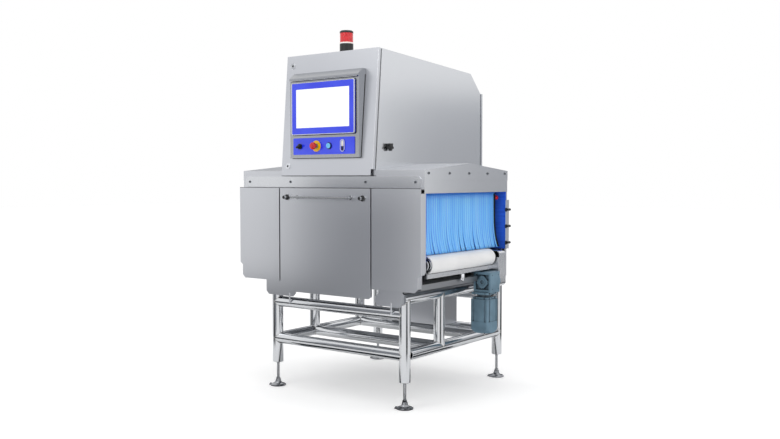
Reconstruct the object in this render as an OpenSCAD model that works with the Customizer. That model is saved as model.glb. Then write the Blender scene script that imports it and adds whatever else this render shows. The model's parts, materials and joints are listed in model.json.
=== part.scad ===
// Inspection machine for packed food: a belt runs through a shielded tunnel on a
// tube stand, and a cabinet with the operator's panel stands on the tunnel.
// X runs along the belt towards the exit, Y from the operator to the rear, Z up.
// Places are counted from the tunnel's middle and the floor, and the whole
// machine is then set so that its outline is centred on the origin.

/* [Stand] */
// Outside diameter of the round tube
tube_d = 60.3; // [50:0.1:66]
// Wall of the round tube
tube_wall = 2.6; // [1.5:0.1:5]
// Distance between leg centres along the belt
leg_span_x = 891; // [860:1:920]
// Distance between leg centres across the belt
leg_span_y = 940; // [936:1:980]
// Shift of the stand towards the exit, seen from the tunnel's middle
stand_shift_x = 50; // [30:1:56]
// Shift of the stand towards the rear, seen from the tunnel's middle
stand_shift_y = 80; // [80:1:96]
// Height of the legs' lower ends
leg_clear_h = 138; // [110:1:160]
// Height of the lower rails' centre lines
lower_rail_h = 275; // [240:1:300]
// Drop of the upper long rails' centre lines below the inspection door
rail_drop = 71; // [65:1:100]
// Height of the top end rails' centre lines
top_rail_h = 567; // [560:1:590]
// Distance of the first inner rail behind the front legs
inner_step_front = 317; // [280:1:360]
// Distance of the second inner rail before the rear legs
inner_step_rear = 190; // [180:1:200]

/* [Levelling feet] */
// Diameter of the pad
pad_d = 88; // [60:1:110]
// Height of the pad's bell
pad_h = 36; // [24:1:50]
// Diameter of the threaded spindle
spindle_d = 16; // [12:1:20]
// How far a foot screws out
foot_travel = 50; // [20:1:60]

/* [Tunnel] */
// Length of the tunnel housing along the belt
tunnel_len = 1270; // [1250:1:1340]
// Outside width of the hood
hood_w = 834; // [820:1:850]
// Height of the tray's underside above the top end rails
tray_lift = 22; // [16:0.5:30]
// Height of the belt's top above the tray
belt_over_tray = 142; // [130:1:170]
// Clear height of the tunnel above the belt
aperture_h = 317; // [260:1:360]
// Height of the hood's side above the tunnel mouth
hood_side_h = 118; // [100:1:140]
// Rise of the hood's roof to its ridge
roof_rise = 38; // [15:1:60]
// Thickness of the shielded tunnel wall
wall_t = 10; // [6:0.5:14]
// Thickness of the coloured liner inside the wall
liner_t = 3; // [2:0.5:5]
// Thickness of folded sheet
sheet_t = 2.5; // [1.5:0.1:3]

/* [Front panels] */
// Distance of the front panels' face from the hood's side
panel_reach = 32; // [28:1:40]
// Height of the skirt panels
skirt_h = 519; // [500:1:519]
// Width of the inspection door
door_w = 636; // [600:1:640]
// Height of the inspection door
door_h = 573; // [550:1:576]
// Gap between a panel and its neighbour
panel_gap = 8; // [4:0.5:14]

/* [Conveyor] */
// Diameter over the belt at a roller
belt_turn_d = 92; // [80:1:100]
// Thickness of the belt
belt_t = 2.7; // [2:0.1:4]
// Belt edge towards the operator, from the middle
belt_front = 372; // [360:1:376]
// Belt edge towards the rear, from the middle
belt_rear = 252; // [240:1:256]
// Distance of a roller's centre from the tunnel's middle
roller_x = 609; // [600:1:620]
// Diameter of the roller shaft
shaft_d = 24; // [18:1:28]
// Diameter of the toothed pulleys
pulley_d = 56; // [44:1:60]

/* [Gear motor] */
// Width of the gearbox casting
gear_w = 112; // [100:1:116]
// Depth of the gearbox casting
gear_d = 100; // [88:1:104]
// Height of the gearbox casting
gear_h = 113; // [100:1:120]
// Side of the square motor
motor_w = 110; // [96:1:112]
// Height of the motor's body
motor_h = 123; // [100:1:140]
// Height of the fan cover
fan_h = 62; // [45:1:80]

/* [Cabinet] */
// Width of the cabinet and of its door
cabinet_w = 640; // [600:1:680]
// Height of the cabinet door along its face
cabinet_door_h = 665; // [620:1:720]
// Angle that the cabinet door leans back
door_lean = 4.83; // [3:0.01:6]
// Depth of the cabinet door's folded edge
cabinet_door_t = 24; // [20:0.5:30]
// Distance of the cabinet's rear from the tunnel's middle
cabinet_rear = 641; // [600:1:680]
// Fall of the cabinet's roof to the rear
cabinet_fall = 51; // [20:1:90]

/* [Operator panel] */
// Width of the panel housing
hmi_w = 482; // [460:1:500]
// Height of the panel housing's front
hmi_h = 434; // [425:1:450]
// Width of the touch screen
screen_w = 434; // [400:1:440]
// Height of the touch screen
screen_h = 276; // [240:1:280]
// Height of the control plate
control_h = 90; // [80:1:96]
// Diameter of the stop button's head
stop_d = 40; // [30:1:46]

/* [Beacon] */
// Diameter of the beacon
beacon_d = 75; // [50:1:80]
// Height of the beacon's lens
lens_h = 59; // [40:1:80]

/* [Curtains] */
// Number of strips in a curtain
strip_count = 38; // [20:1:44]
// Thickness of a strip
strip_t = 1.2; // [0.8:0.1:2]

/* [Hidden] */

$fn = 48;
overrun = 1;
seat_gap = 0.3;
running_gap = 0.05;

// Stand
tube_r = tube_d / 2;
bore_r = tube_r - tube_wall;
leg_x = [stand_shift_x - leg_span_x / 2, stand_shift_x + leg_span_x / 2];
leg_y = [stand_shift_y - leg_span_y / 2, stand_shift_y + leg_span_y / 2];
inner_y = [leg_y[0] + inner_step_front, leg_y[1] - inner_step_rear];
leg_front = leg_y[0] - tube_r;
rail_top = top_rail_h + tube_r;
plug_h = 14;
plug_cone_h = 7;
plug_tip_share = 0.45;
neck_share = 0.8;
tab_turn = 210;
cap_t = 3;

// Heights of the machine, one on top of the other
tray_h = 28;
tray_t = 3;
tray_z = rail_top + tray_lift;
tray_top = tray_z + tray_h;
belt_top = tray_top + belt_over_tray;
mouth_top = belt_top + aperture_h;
eave_h = mouth_top + hood_side_h;
ridge_h = eave_h + roof_rise;

// Plan of the tunnel
half_len = tunnel_len / 2;
hood_y = hood_w / 2;
wall_y = hood_y - sheet_t;
wall_in = wall_y - wall_t;
liner_in = wall_in - liner_t;
end_plate_t = 3;
lap_t = 2;
hood_half = half_len - end_plate_t;
wall_lap = 14;
wall_top = mouth_top + wall_lap;
ceiling_t = 4;
ceiling_short = 75;
ceiling_half = half_len - ceiling_short;
toe_h = 61;
toe_x = 23;
rear_toe_h = 135;
rear_toe_x = 30;
tray_half_x = half_len - toe_x;
tray_notch_x = ceiling_half;
liner_foot = 8;
window_x = 290;
window_sill = 28;
window_head = 48;

// Front and rear panels
panel_y = hood_y + panel_reach;
panel_t = 2;
panel_rise = 23;
panel_top = mouth_top + panel_rise;
skirt_z = panel_top - skirt_h;
skirt_x0 = door_w / 2 + panel_gap;
skirt_end_low = 89;
skirt_end_step = 19;
skirt_step_h = 14;
corner_cut = 18;
door_z = panel_top - door_h;
upper_rail_h = door_z - rail_drop;
door_depth = 15;
door_corner = 16;
rear_panel_reach = 17;
rear_panel_y = hood_y + rear_panel_reach;
rear_panel_short = 12;
rear_panel_half = half_len - rear_panel_short;
rear_panel_drop = 24;
rear_panel_z = tray_top - rear_panel_drop;
rear_seam = 4;
bolt_d = 14;
bolt_h = 5;
bolt_inset = 48;
end_bolt_pitch = 192;
band_rise = 26;
band_h = 61;
band_z = [mouth_top + band_rise, mouth_top + band_rise + band_h];
band_t = 3;
band_end = 14;
band_cut = 16;
band_bolt_x = [265, 582];
bend_rise = 64;
bend_z = mouth_top + bend_rise;
end_bolt_rise = 102;
end_bolt_z = mouth_top + end_bolt_rise;
strip_foot = 8;
strip_head = 47;
strip_inset = 5;
strip_z = [belt_top - strip_foot, mouth_top - strip_head];
strip_y = [liner_in - strip_inset, rear_panel_y];

// Inspection door hinge
pivot_depth = 8;
pivot_rise = 11;
pivot_y = pivot_depth - panel_y;
pivot_z = door_z + pivot_rise;
pivot_x = 200;
pivot_r = 4;
ear_t = 6;
ear_r = 5;
ear_rise = 119;
lug_r = 7;
lug_t = 5;
knob_x = 266;
knob_drop = 51;
handle_half = 200;
handle_r = 6;
handle_reach = 38;
handle_drop = 50;

// Conveyor
roller_r = belt_turn_d / 2 - belt_t - seat_gap;
belt_out_r = belt_turn_d / 2;
belt_in_r = belt_out_r - belt_t;
roller_z = belt_top - belt_out_r;
shaft_r = shaft_d / 2;
roller_over = 4;
bearing_t = 8;
bearing_wall = 15;
bearing_r = shaft_r + bearing_wall;
frame_t = 8;
frame_front = belt_front + roller_over + bearing_t;
frame_rear = belt_rear + roller_over + bearing_t;
frame_short = 49;
frame_half = roller_x - frame_short;
frame_over = 24;
lug_edge = 3;
lug_end_r = bearing_r + lug_edge;
bed_t = 3;
bar_r = 12.5;
bar_x = 430;
bar_z = tray_top + 2 * bar_r;
detector_x = 45;
detector_h = 50;
detector_z = roller_z - detector_h / 2;

// Gear motor, its plate and its belt cover
gear_step_x = 24;
gear_drop = 131;
gear_x = roller_x + gear_step_x;
gear_x0 = gear_x - gear_w / 2;
gear_flange_t = 19;
gear_y1 = frame_rear - gear_flange_t;
gear_y0 = gear_y1 - gear_d;
gear_y = (gear_y0 + gear_y1) / 2;
gear_z = roller_z - gear_drop;
gear_z0 = gear_z - gear_h / 2;
plate_edge = 8;
cover_t = 2;
cover_clear = 7;
cover_depth = 71;
cover_y0 = frame_rear + frame_t;
cover_y1 = cover_y0 + cover_depth;
cover_x = [roller_x - pulley_d / 2 - cover_clear - cover_t,
           gear_x + pulley_d / 2 + cover_clear + cover_t];
cover_z = [gear_z - pulley_d / 2 - cover_clear, roller_z + pulley_d / 2 + cover_clear];
cover_r = 22;
pulley_w = 26;
pulley_set = 22;
pulley_y = cover_y0 + pulley_set;
pulley_flange = 3;
tooth_count = 24;
tooth_h = 2;
timing_t = 3;
out_shaft_r = 10;
hub_r = 18;
neck_zh = 38;
motor_z1 = gear_z0 - neck_zh;
motor_z0 = motor_z1 - motor_h;
motor_step = [-10, -8];
motor_x = gear_x + motor_step[0];
motor_y = gear_y + motor_step[1];
groove = 5;
box_w = 56;
box_y = 38;
box_h = 90;
box_r = 6;
box_foot = 8;
gland_h = 10;
gland_r = 9;
cable_r = 3.5;
cable_bend = 27;
cable_z = motor_z0 + box_foot + box_h + gland_h + cable_bend;
cable_y = motor_y + motor_w / 2 + seat_gap + box_y / 2;

// Lower equipment box
lower_box_w = 366;
lower_box_x = [stand_shift_x - lower_box_w / 2, stand_shift_x + lower_box_w / 2];
lid_t = 3;
lower_box_y = [inner_y[1] - tube_r / 2, leg_y[1] - tube_r - 2 * seat_gap - lid_t];
lower_box_z0 = lower_rail_h + tube_r + seat_gap;
cable_entry_x = lower_box_x[1] - 2 * cable_bend;

// Cabinet, whose front leans on the same slope as its door
lean_tan = tan(door_lean);
door_foot_reach = 17;
door_foot_drop = 27;
door_foot_y = -hood_y - door_foot_reach;
door_foot_z = eave_h - door_foot_drop;
lip_h = 32;
flap_back = 6;
seam = 4;
cab_x = cabinet_w / 2;
cab_t = 2;
frame_w = 25;
seam_y = (cabinet_door_t + seam) / cos(door_lean);
cab_foot_z = eave_h + 2 * cab_t;
door_top_z = door_foot_z + cabinet_door_h * cos(door_lean);
roof_front_z = door_top_z - cab_t;
chamfer_y = 112;
chamfer_z = 110;
rear_top_z = roof_front_z - cabinet_fall - chamfer_z;
rear_gap = 11;
rear_cover_t = 16;
rear_inset = 12;
sill_h = 10;
lock_x = -274;
lock_end = [52, 56];
lock_z = [lock_end[0], cabinet_door_h - lock_end[1]];
barrel_r = 9;
barrel_flange_r = 12;
barrel_flange_t = 3;
core_r = 6;
tongue_l = 30;
tongue_foot_l = 16;
tongue_w = 14;
tongue_t = 4;
tongue_play = 1.5;
tongue_y = cabinet_door_t + seam + cab_t + tongue_play;
hinge_set = [6.5, 4];
hinge_end = 96;
hinge_x = cab_x - hinge_set[0];
hinge_y = cabinet_door_t - hinge_set[1];
hinge_z = [hinge_end, cabinet_door_h - hinge_end];
hinge_pin_r = 2;
arm_r = 3.8;
arm_h = 18;
arm_reach = 13;
hinge_lug_h = 6;
hinge_play = 0.4;
gasket_w = 4;
side_knob_y = -299;
side_knob_rise = 123;
side_knob_z = eave_h + side_knob_rise;

// Operator panel
hmi_reach = 28;
hmi_rise = 67;
hmi_y = -hood_y - hmi_reach;
hmi_z = eave_h + hmi_rise;
hmi_lip = 6;
hmi_lip_h = 15;
hmi_brow_y = 33;
hmi_brow_z = 30;
hmi_t = 2;
screen_t = 12;
screen_rise = 129;
screen_z = hmi_z + screen_rise;
glass_margin = [31, 34];
glass_sink = 0.8;
control_t = 4;
control_rise = 19;
control_z = hmi_z + control_rise;
control_mid = control_z + control_h / 2;
control_w = screen_w - control_t;
switch_x = -165;
stop_x = -47;
reset_x = 43;
port_x = 136;
stem_r = 10.9;
reset_travel = 3;
reset_cap_r = 14;
reset_cap_t = 3;
head_gap = 16;
stop_head_t = 22;
collar_r = 30;
collar_t = 3;
port_w = 22;
port_h = 60;
port_corner = 10;
port_rim = 3;
bezel_r = 15;
grip_foot = 7;
grip_t = 14;
grip_w = 10;
grip_corner = 4;
grip_turn = 30;

// Star knob, and the smaller knobs with a barrel that hold the inspection door
star_points = 5;
star_r = 21;
star_lobe_r = 7;
star_crown_r = 11;
star_t = 16;
star_neck_r = 8;
star_neck = 7;
star_stud_r = 4;
star_stud = 20;
clamp_r = 16;
clamp_lobe_r = 5;
clamp_t = 10;
clamp_barrel_r = 9;
clamp_barrel = 17;
clamp_tip_r = 5;
clamp_tip = 3;

// Beacon
beacon_y = -250;
beacon_foot = 66;
beacon_cap = 13;
lens_step = 1;

// Curtains and their rods
rod_r = 4;
hem_r = 6;
hem_play = 0.1;
rod_z = mouth_top + 2 * rod_r;
rod_set = 35;
rod_x = roller_x - rod_set;
curtain_play = [12, 29];
curtain_y = [curtain_play[0] - wall_in, wall_in - curtain_play[1]];
curtain_foot = 5;
band_drop = 40;
pleat = 2.5;
slit = 0.8;

// Tunnel lamp and ring pins
lamp_r = 12;
lamp_t = 9;
lamp_shares = [[0, 0], [0.7, 0], [0.7, 0.7], [0.6, 1.1], [0.35, 1.35], [0, 1.45]];
lamp_drop = 34;
lamp_z = mouth_top - lamp_drop;
pin_ends = [35, 55];
pin_z = [strip_z[0] + pin_ends[0], (strip_z[0] + strip_z[1] - pin_ends[1] + pin_ends[0]) / 2,
         strip_z[1] - pin_ends[1]];
pin_r = 7;
pin_l = 35;
ring_r = 11;
ring_hole_r = 6.5;
ring_t = 5;

// Generator and collimator
slot_x = 20;
slot_y = 350;
collimator_h = 28;
collimator_x = 60;
collimator_wall = 8;
tank_x = 140;
tank_y = 180;
tank_h = 350;
tank_cut = 20;
roof_hole_play = 5;

// Outline of the whole machine, used to centre it
reach_front = panel_y + handle_reach + handle_r;
reach_rear = cabinet_rear + rear_gap + rear_cover_t + bolt_h;
reach_left = roller_x + belt_turn_d / 2;
reach_right = gear_x + gear_w / 2;
plan_shift = [-(reach_right - reach_left) / 2, -(reach_rear - reach_front) / 2, 0];

// A box between two corners, given as ranges along X, Y and Z
module slab(x, y, z)
    translate([x[0], y[0], z[0]]) cube([x[1] - x[0], y[1] - y[0], z[1] - z[0]]);

module rod_z_way(x, y, z, r) translate([x, y, z[0]]) cylinder(h = z[1] - z[0], r = r);

module rod_y_way(x, y, z, r)
    translate([x, y[0], z]) rotate([-90, 0, 0]) cylinder(h = y[1] - y[0], r = r);

module rod_x_way(x, y, z, r)
    translate([x[0], y, z]) rotate([0, 90, 0]) cylinder(h = x[1] - x[0], r = r);

// A flat outline in X and Z, made into a plate between two Y values
module plate_xz(y) translate([0, y[1], 0]) rotate([90, 0, 0]) linear_extrude(y[1] - y[0]) children();

// A flat outline in Y and Z, made into a plate between two X values
module plate_yz(x) translate([x[0], 0, 0]) rotate([90, 0, 90]) linear_extrude(x[1] - x[0]) children();

// A rectangle with round corners, from plain squares and circles
module round_rect(x, y, r) {
    translate([x[0] + r, y[0]]) square([x[1] - x[0] - 2 * r, y[1] - y[0]]);
    translate([x[0], y[0] + r]) square([x[1] - x[0], y[1] - y[0] - 2 * r]);
    for (px = [x[0] + r, x[1] - r], py = [y[0] + r, y[1] - r]) translate([px, py]) circle(r);
}

module both_ends() {
    children();
    mirror([1, 0, 0]) children();
}

module both_sides() {
    children();
    mirror([0, 1, 0]) children();
}

// Stand tubes: each is cut to the round of the tube that it meets
module stand_posts() color("silver") {
    for (x = leg_x, y = leg_y) difference() {
        rod_z_way(x, y, [leg_clear_h, top_rail_h], tube_r);
        rod_z_way(x, y, [leg_clear_h + plug_h, top_rail_h + overrun], bore_r);
        rod_z_way(x, y, [leg_clear_h - overrun, leg_clear_h + plug_h + overrun],
                  spindle_r + running_gap);
        rod_y_way(x, [y - tube_d, y + tube_d], top_rail_h, tube_r);
    }
    for (x = leg_x, y = leg_y) translate([x, y, leg_clear_h - plug_cone_h]) difference() {
        cylinder(h = plug_cone_h, r1 = tube_r * plug_tip_share, r2 = tube_r);
        translate([0, 0, -overrun]) cylinder(h = plug_cone_h + 2 * overrun, r = spindle_r + running_gap);
    }
    for (x = leg_x, y = inner_y) difference() {
        rod_z_way(x, y, [lower_rail_h, top_rail_h], tube_r);
        rod_z_way(x, y, [lower_rail_h - overrun, top_rail_h + overrun], bore_r);
        rod_y_way(x, [y - tube_d, y + tube_d], top_rail_h, tube_r);
        rod_y_way(x, [y - tube_d, y + tube_d], lower_rail_h, tube_r);
    }
}

module long_rail(y, z) difference() {
    rod_x_way(leg_x, y, z, tube_r);
    rod_x_way([leg_x[0] - overrun, leg_x[1] + overrun], y, z, bore_r);
    for (x = leg_x) rod_z_way(x, y, [z - tube_d, z + tube_d], tube_r);
}

module long_rails() color("silver") {
    for (y = leg_y, z = [lower_rail_h, upper_rail_h]) long_rail(y, z);
    for (y = inner_y) difference() {
        long_rail(y, lower_rail_h);
        for (x = leg_x) rod_y_way(x, [y - tube_d, y + tube_d], lower_rail_h, tube_r);
    }
}

module end_rails() color("silver") {
    for (x = leg_x) difference() {
        rod_y_way(x, leg_y, lower_rail_h, tube_r);
        rod_y_way(x, [leg_y[0] - overrun, leg_y[1] + overrun], lower_rail_h, bore_r);
        for (y = leg_y) {
            rod_z_way(x, y, [lower_rail_h - tube_d, lower_rail_h + tube_d], tube_r);
            rod_x_way([x - tube_d, x + tube_d], y, lower_rail_h, tube_r);
        }
    }
    for (x = leg_x) difference() {
        rod_y_way(x, [leg_y[0] - tube_r, leg_y[1] + tube_r], top_rail_h, tube_r);
        for (s = [-1, 1])
            rod_y_way(x, [min(s * (leg_y[1] + tube_r - cap_t), s * (leg_y[1] + tube_r + overrun)),
                          max(s * (leg_y[1] + tube_r - cap_t), s * (leg_y[1] + tube_r + overrun))],
                      top_rail_h, bore_r);
        rod_y_way(x, [leg_y[0] - tube_r + 2 * cap_t, leg_y[1] + tube_r - 2 * cap_t],
                  top_rail_h, bore_r);
    }
}

// Levelling foot: bell pad with a bolt-down tab, hexagon neck and spindle
spindle_r = spindle_d / 2;
spindle_spare = 24;
neck_h = 10;
tab_r = 10;
tab_h = 6;
pad_shares = [[0, 0], [1, 0], [1, 0.17], [0.84, 0.3], [0.54, 0.42], [0.38, 0.66], [0.34, 1], [0, 1]];

module foot(x, y) color("lightgray") translate([x, y, 0]) {
    rotate_extrude() polygon([for (s = pad_shares) [s[0] * pad_d / 2, s[1] * pad_h]]);
    rotate(tab_turn) {
        slab([0, pad_d / 2], [-tab_r, tab_r], [0, tab_h]);
        translate([pad_d / 2, 0, 0]) cylinder(h = tab_h, r = tab_r);
        translate([pad_d / 2, 0, tab_h]) cylinder(h = tab_h, r = tab_r / 2);
    }
    translate([0, 0, pad_h]) cylinder(h = neck_h, r = spindle_d * neck_share, $fn = 6);
    translate([0, 0, pad_h + neck_h])
        cylinder(h = leg_clear_h + plug_h + foot_travel + spindle_spare - pad_h - neck_h,
                 r = spindle_r);
}

module foot_front_left() foot(leg_x[0], leg_y[0]);
module foot_front_right() foot(leg_x[1], leg_y[0]);
module foot_rear_left() foot(leg_x[0], leg_y[1]);
module foot_rear_right() foot(leg_x[1], leg_y[1]);

// Plates that reach from the tray's edge down to studs on the front upper rail
bracket_set = 22.5;
bracket_t = 5;
bracket_x = [-449, 330];
bracket_w = [223, 175];
bracket_drop = 94;
bracket_rise = 13;
bracket_cut = 19;
bracket_notch = 30;
bracket_lip = 6;
stud_r = 5;
stud_bite = 0.5;
stud_lap = 20;
stud_share = [0.8, 0.6];
bracket_z = [tray_z - bracket_drop, tray_z + bracket_rise];
bracket_y = [bracket_set - panel_y, bracket_set + bracket_t - panel_y];

module bracket(side) {
    x = [bracket_x[side], bracket_x[side] + bracket_w[side]];
    stud_x = x[0] + bracket_w[side] * stud_share[side];
    plate_xz(bracket_y) difference() {
        polygon([[x[0] + bracket_cut, bracket_z[0]], [x[1] - bracket_cut, bracket_z[0]],
                 [x[1], bracket_z[0] + bracket_cut], [x[1], bracket_z[1]],
                 [x[0], bracket_z[1]], [x[0], bracket_z[0] + bracket_cut]]);
        if (side == 1) translate([x[0], bracket_z[1] - bracket_notch]) circle(bracket_notch);
    }
    slab([x[0] + bracket_notch, x[1]], [bracket_y[0], -wall_y - seat_gap],
         [bracket_z[1] - bracket_lip, bracket_z[1]]);
    difference() {
        rod_z_way(stud_x, leg_front - stud_r + stud_bite, [upper_rail_h, bracket_z[0] + stud_lap], stud_r);
        rod_x_way(leg_x, leg_y[0], upper_rail_h, tube_r);
    }
}

module support_brackets() color("lightgray") for (side = [0, 1]) bracket(side);

// Tray under the conveyor, notched for the drive, with blocks on the top rails
rest_w = 60;
notch_y = gear_y0 - tray_h / 2;

module tray_outline(inset) polygon([
    [inset - tray_half_x, inset - wall_y], [tray_half_x - inset, inset - wall_y],
    [tray_half_x - inset, notch_y - inset], [tray_notch_x - inset, notch_y - inset],
    [tray_notch_x - inset, wall_y - inset], [inset - tray_half_x, wall_y - inset]]);

module base_tray() color("dimgray") {
    difference() {
        translate([0, 0, tray_z]) linear_extrude(tray_h) tray_outline(0);
        translate([0, 0, tray_z - overrun]) linear_extrude(tray_h - tray_t + overrun)
            tray_outline(tray_t);
    }
    for (x = leg_x, y = [-wall_y, wall_y - rest_w])
        slab([x - tube_r / 2, x + tube_r / 2], [y, y + rest_w],
             [rail_top + seat_gap, tray_top - tray_t]);
}

// Shielded side walls; the one at the operator's side has a service window
module wall_outline(toe_in, toe_up) {
    polygon([
        [-half_len + toe_in, tray_top], [half_len - toe_in, tray_top],
        [half_len - toe_in, tray_top + toe_up], [half_len, tray_top + toe_up], [half_len, mouth_top],
        [-half_len, mouth_top], [-half_len, tray_top + toe_up],
        [-half_len + toe_in, tray_top + toe_up]]);
    translate([lap_t - hood_half, mouth_top - overrun])
        square([2 * (hood_half - lap_t), wall_lap + overrun]);
}

module window_cut() translate([-window_x, tray_top + window_sill])
    square([2 * window_x, mouth_top - window_head - tray_top - window_sill]);

module tunnel_walls() color("gainsboro") {
    plate_xz([-wall_y, -wall_in]) difference() {
        wall_outline(toe_x, toe_h);
        window_cut();
    }
    plate_xz([wall_in, wall_y]) wall_outline(rear_toe_x, rear_toe_h);
}

module liner_outline() translate([-half_len, belt_top - liner_foot])
    square([tunnel_len, mouth_top - belt_top + liner_foot]);

module tunnel_liners() color("royalblue") {
    plate_xz([-wall_in, -liner_in]) difference() {
        liner_outline();
        window_cut();
    }
    plate_xz([liner_in, wall_in]) liner_outline();
}

// Shielded ceiling with the beam's slot and the collimator over it
module tunnel_ceiling() color("gray") {
    difference() {
        slab([-ceiling_half, ceiling_half], [-wall_y, wall_y], [wall_top, wall_top + ceiling_t]);
        slab([-slot_x, slot_x], [-slot_y, slot_y], [wall_top - overrun, wall_top + ceiling_t + overrun]);
    }
    difference() {
        slab([-collimator_x, collimator_x], [-tank_y, tank_y],
             [wall_top + ceiling_t, wall_top + ceiling_t + collimator_h]);
        slab([collimator_wall - collimator_x, collimator_x - collimator_wall],
             [collimator_wall - tank_y, tank_y - collimator_wall],
             [wall_top, wall_top + ceiling_t + collimator_h + overrun]);
    }
}

// Outline of the hood across the belt, drawn in and lengthened downwards
module hood_outline(inset, drop) polygon([
    [-hood_y + inset, mouth_top - drop], [hood_y - inset, mouth_top - drop],
    [hood_y - inset, eave_h - inset], [0, ridge_h - inset], [-hood_y + inset, eave_h - inset]]);

module tunnel_hood() color("silver") difference() {
    plate_yz([-hood_half, hood_half]) hood_outline(0, 0);
    plate_yz([-half_len, half_len]) hood_outline(sheet_t, overrun);
    slab([-tank_x - roof_hole_play, tank_x + roof_hole_play],
         [-tank_y - roof_hole_play, tank_y + roof_hole_play], [eave_h - 2 * sheet_t, ridge_h + overrun]);
}

// End plates with their bend, and the jointing bands along the sides
module hood_flanges() color("lightgray") {
    both_ends() {
        plate_yz([hood_half, half_len]) hood_outline(0, 0);
        plate_yz([half_len, half_len + lap_t]) intersection() {
            hood_outline(0, 0);
            translate([-hood_y, bend_z]) square([hood_w, ridge_h]);
        }
    }
    both_sides() plate_xz([-hood_y - band_t, -hood_y]) polygon([
        [band_end - hood_half, band_z[0]], [hood_half - band_end, band_z[0]],
        [hood_half - band_end, band_z[1] - band_cut], [hood_half - band_end - band_cut, band_z[1]],
        [band_end + band_cut - hood_half, band_z[1]], [band_end - hood_half, band_z[1] - band_cut]]);
}

// Button-head bolt with a hexagon socket, its head's seat in the XY plane
rim_share = 0.4;
crown_share = 0.68;
socket_share = 0.5;

module bolt() difference() {
    union() {
        cylinder(h = bolt_h * rim_share, r = bolt_d / 2);
        translate([0, 0, bolt_h * rim_share])
            cylinder(h = bolt_h * (1 - rim_share), r1 = bolt_d / 2, r2 = bolt_d * crown_share / 2);
    }
    translate([0, 0, bolt_h * socket_share]) cylinder(h = bolt_h, r = bolt_d * socket_share / 2, $fn = 6);
}

module panel_bolts() color("silver") {
    both_ends() for (k = [-2 : 2])
        translate([half_len + lap_t, k * end_bolt_pitch, end_bolt_z]) rotate([0, 90, 0]) bolt();
    both_sides() for (x = band_bolt_x) both_ends()
        translate([x, -hood_y - band_t, (band_z[0] + band_z[1]) / 2]) rotate([90, 0, 0]) bolt();
    both_ends() for (z = [rear_panel_z + bolt_inset, panel_top - bolt_inset],
                     x = [bolt_inset, rear_panel_half - bolt_inset])
        translate([x, rear_panel_y, z]) rotate([-90, 0, 0]) bolt();
    both_ends() for (z = [cab_foot_z + bolt_inset, rear_top_z - bolt_inset])
        translate([cab_x - bolt_inset, cabinet_rear + rear_gap + rear_cover_t, z])
            rotate([-90, 0, 0]) bolt();
}

// Front skirt panel on the exit side, as a folded pan open to the rear
module skirt_outline() polygon([
    [skirt_x0, skirt_z], [half_len - skirt_end_step - corner_cut, skirt_z],
    [half_len - skirt_end_step, skirt_z + corner_cut],
    [half_len - skirt_end_step, skirt_z + skirt_end_low - skirt_step_h],
    [half_len, skirt_z + skirt_end_low], [half_len, panel_top], [skirt_x0, panel_top]]);

module skirt() {
    plate_xz([-panel_y, panel_t - panel_y]) skirt_outline();
    slab([skirt_x0, half_len], [-panel_y, -hood_y - seat_gap], [panel_top - panel_t, panel_top]);
    slab([skirt_x0, skirt_x0 + panel_t], [-panel_y, door_depth - panel_y], [skirt_z, panel_top]);
    slab([half_len - panel_t, half_len], [-panel_y, -wall_y - seat_gap],
         [skirt_z + skirt_end_low, mouth_top]);
    slab([half_len - skirt_end_step - panel_t, half_len - skirt_end_step],
         [-panel_y, -wall_y - seat_gap], [skirt_z + corner_cut, skirt_z + skirt_end_low]);
}

module front_skirt_left() color("silver") mirror([1, 0, 0]) skirt();
module front_skirt_right() color("silver") skirt();

// Rear service panels and the strip at the exit end of the rear wall
module rear_panels() color("silver") {
    w = (2 * rear_panel_half - 2 * rear_seam) / 3;
    for (k = [0 : 2]) {
        x0 = -rear_panel_half + k * (w + rear_seam);
        slab([x0, x0 + w], [rear_panel_y - panel_t, rear_panel_y], [rear_panel_z, panel_top]);
        for (x = [x0, x0 + w - panel_t])
            slab([x, x + panel_t], [wall_y + seat_gap, rear_panel_y], [rear_panel_z, mouth_top - overrun]);
        slab([x0, x0 + w], [hood_y + seat_gap, rear_panel_y], [panel_top - panel_t, panel_top]);
    }
    slab([half_len + seat_gap, half_len + end_plate_t], strip_y, strip_z);
}

module ring_pins() color("black") {
    x = half_len + end_plate_t + pin_r + seat_gap;
    for (z = pin_z) {
        rod_y_way(x, [strip_y[1] - panel_t - pin_l, strip_y[1] - panel_t], z, pin_r);
        translate([x - ring_t / 2, strip_y[1] - panel_t - pin_l - ring_r + 2 * overrun, z])
            rotate([0, 90, 0]) difference() {
                cylinder(h = ring_t, r = ring_r);
                translate([0, 0, -overrun]) cylinder(h = ring_t + 2 * overrun, r = ring_hole_r);
            }
    }
}

module curtain_rods() color("silver") both_ends()
    rod_y_way(rod_x, [-wall_in, wall_in], rod_z, rod_r);

// Curtain at the exit: a hem on the rod, a band, and pleated strips below it
strip_pitch = (curtain_y[1] - curtain_y[0]) / strip_count;

module pleat_outline(k, cut) {
    y0 = curtain_y[0] + k * strip_pitch + cut / 2;
    y1 = curtain_y[0] + (k + 1) * strip_pitch - cut / 2;
    bow = k % 2 == 0 ? pleat : pleat / 2;
    polygon([[0, y0], [strip_t, y0], [strip_t + bow, (y0 + y1) / 2], [strip_t, y1], [0, y1],
             [bow, (y0 + y1) / 2]]);
}

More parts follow.
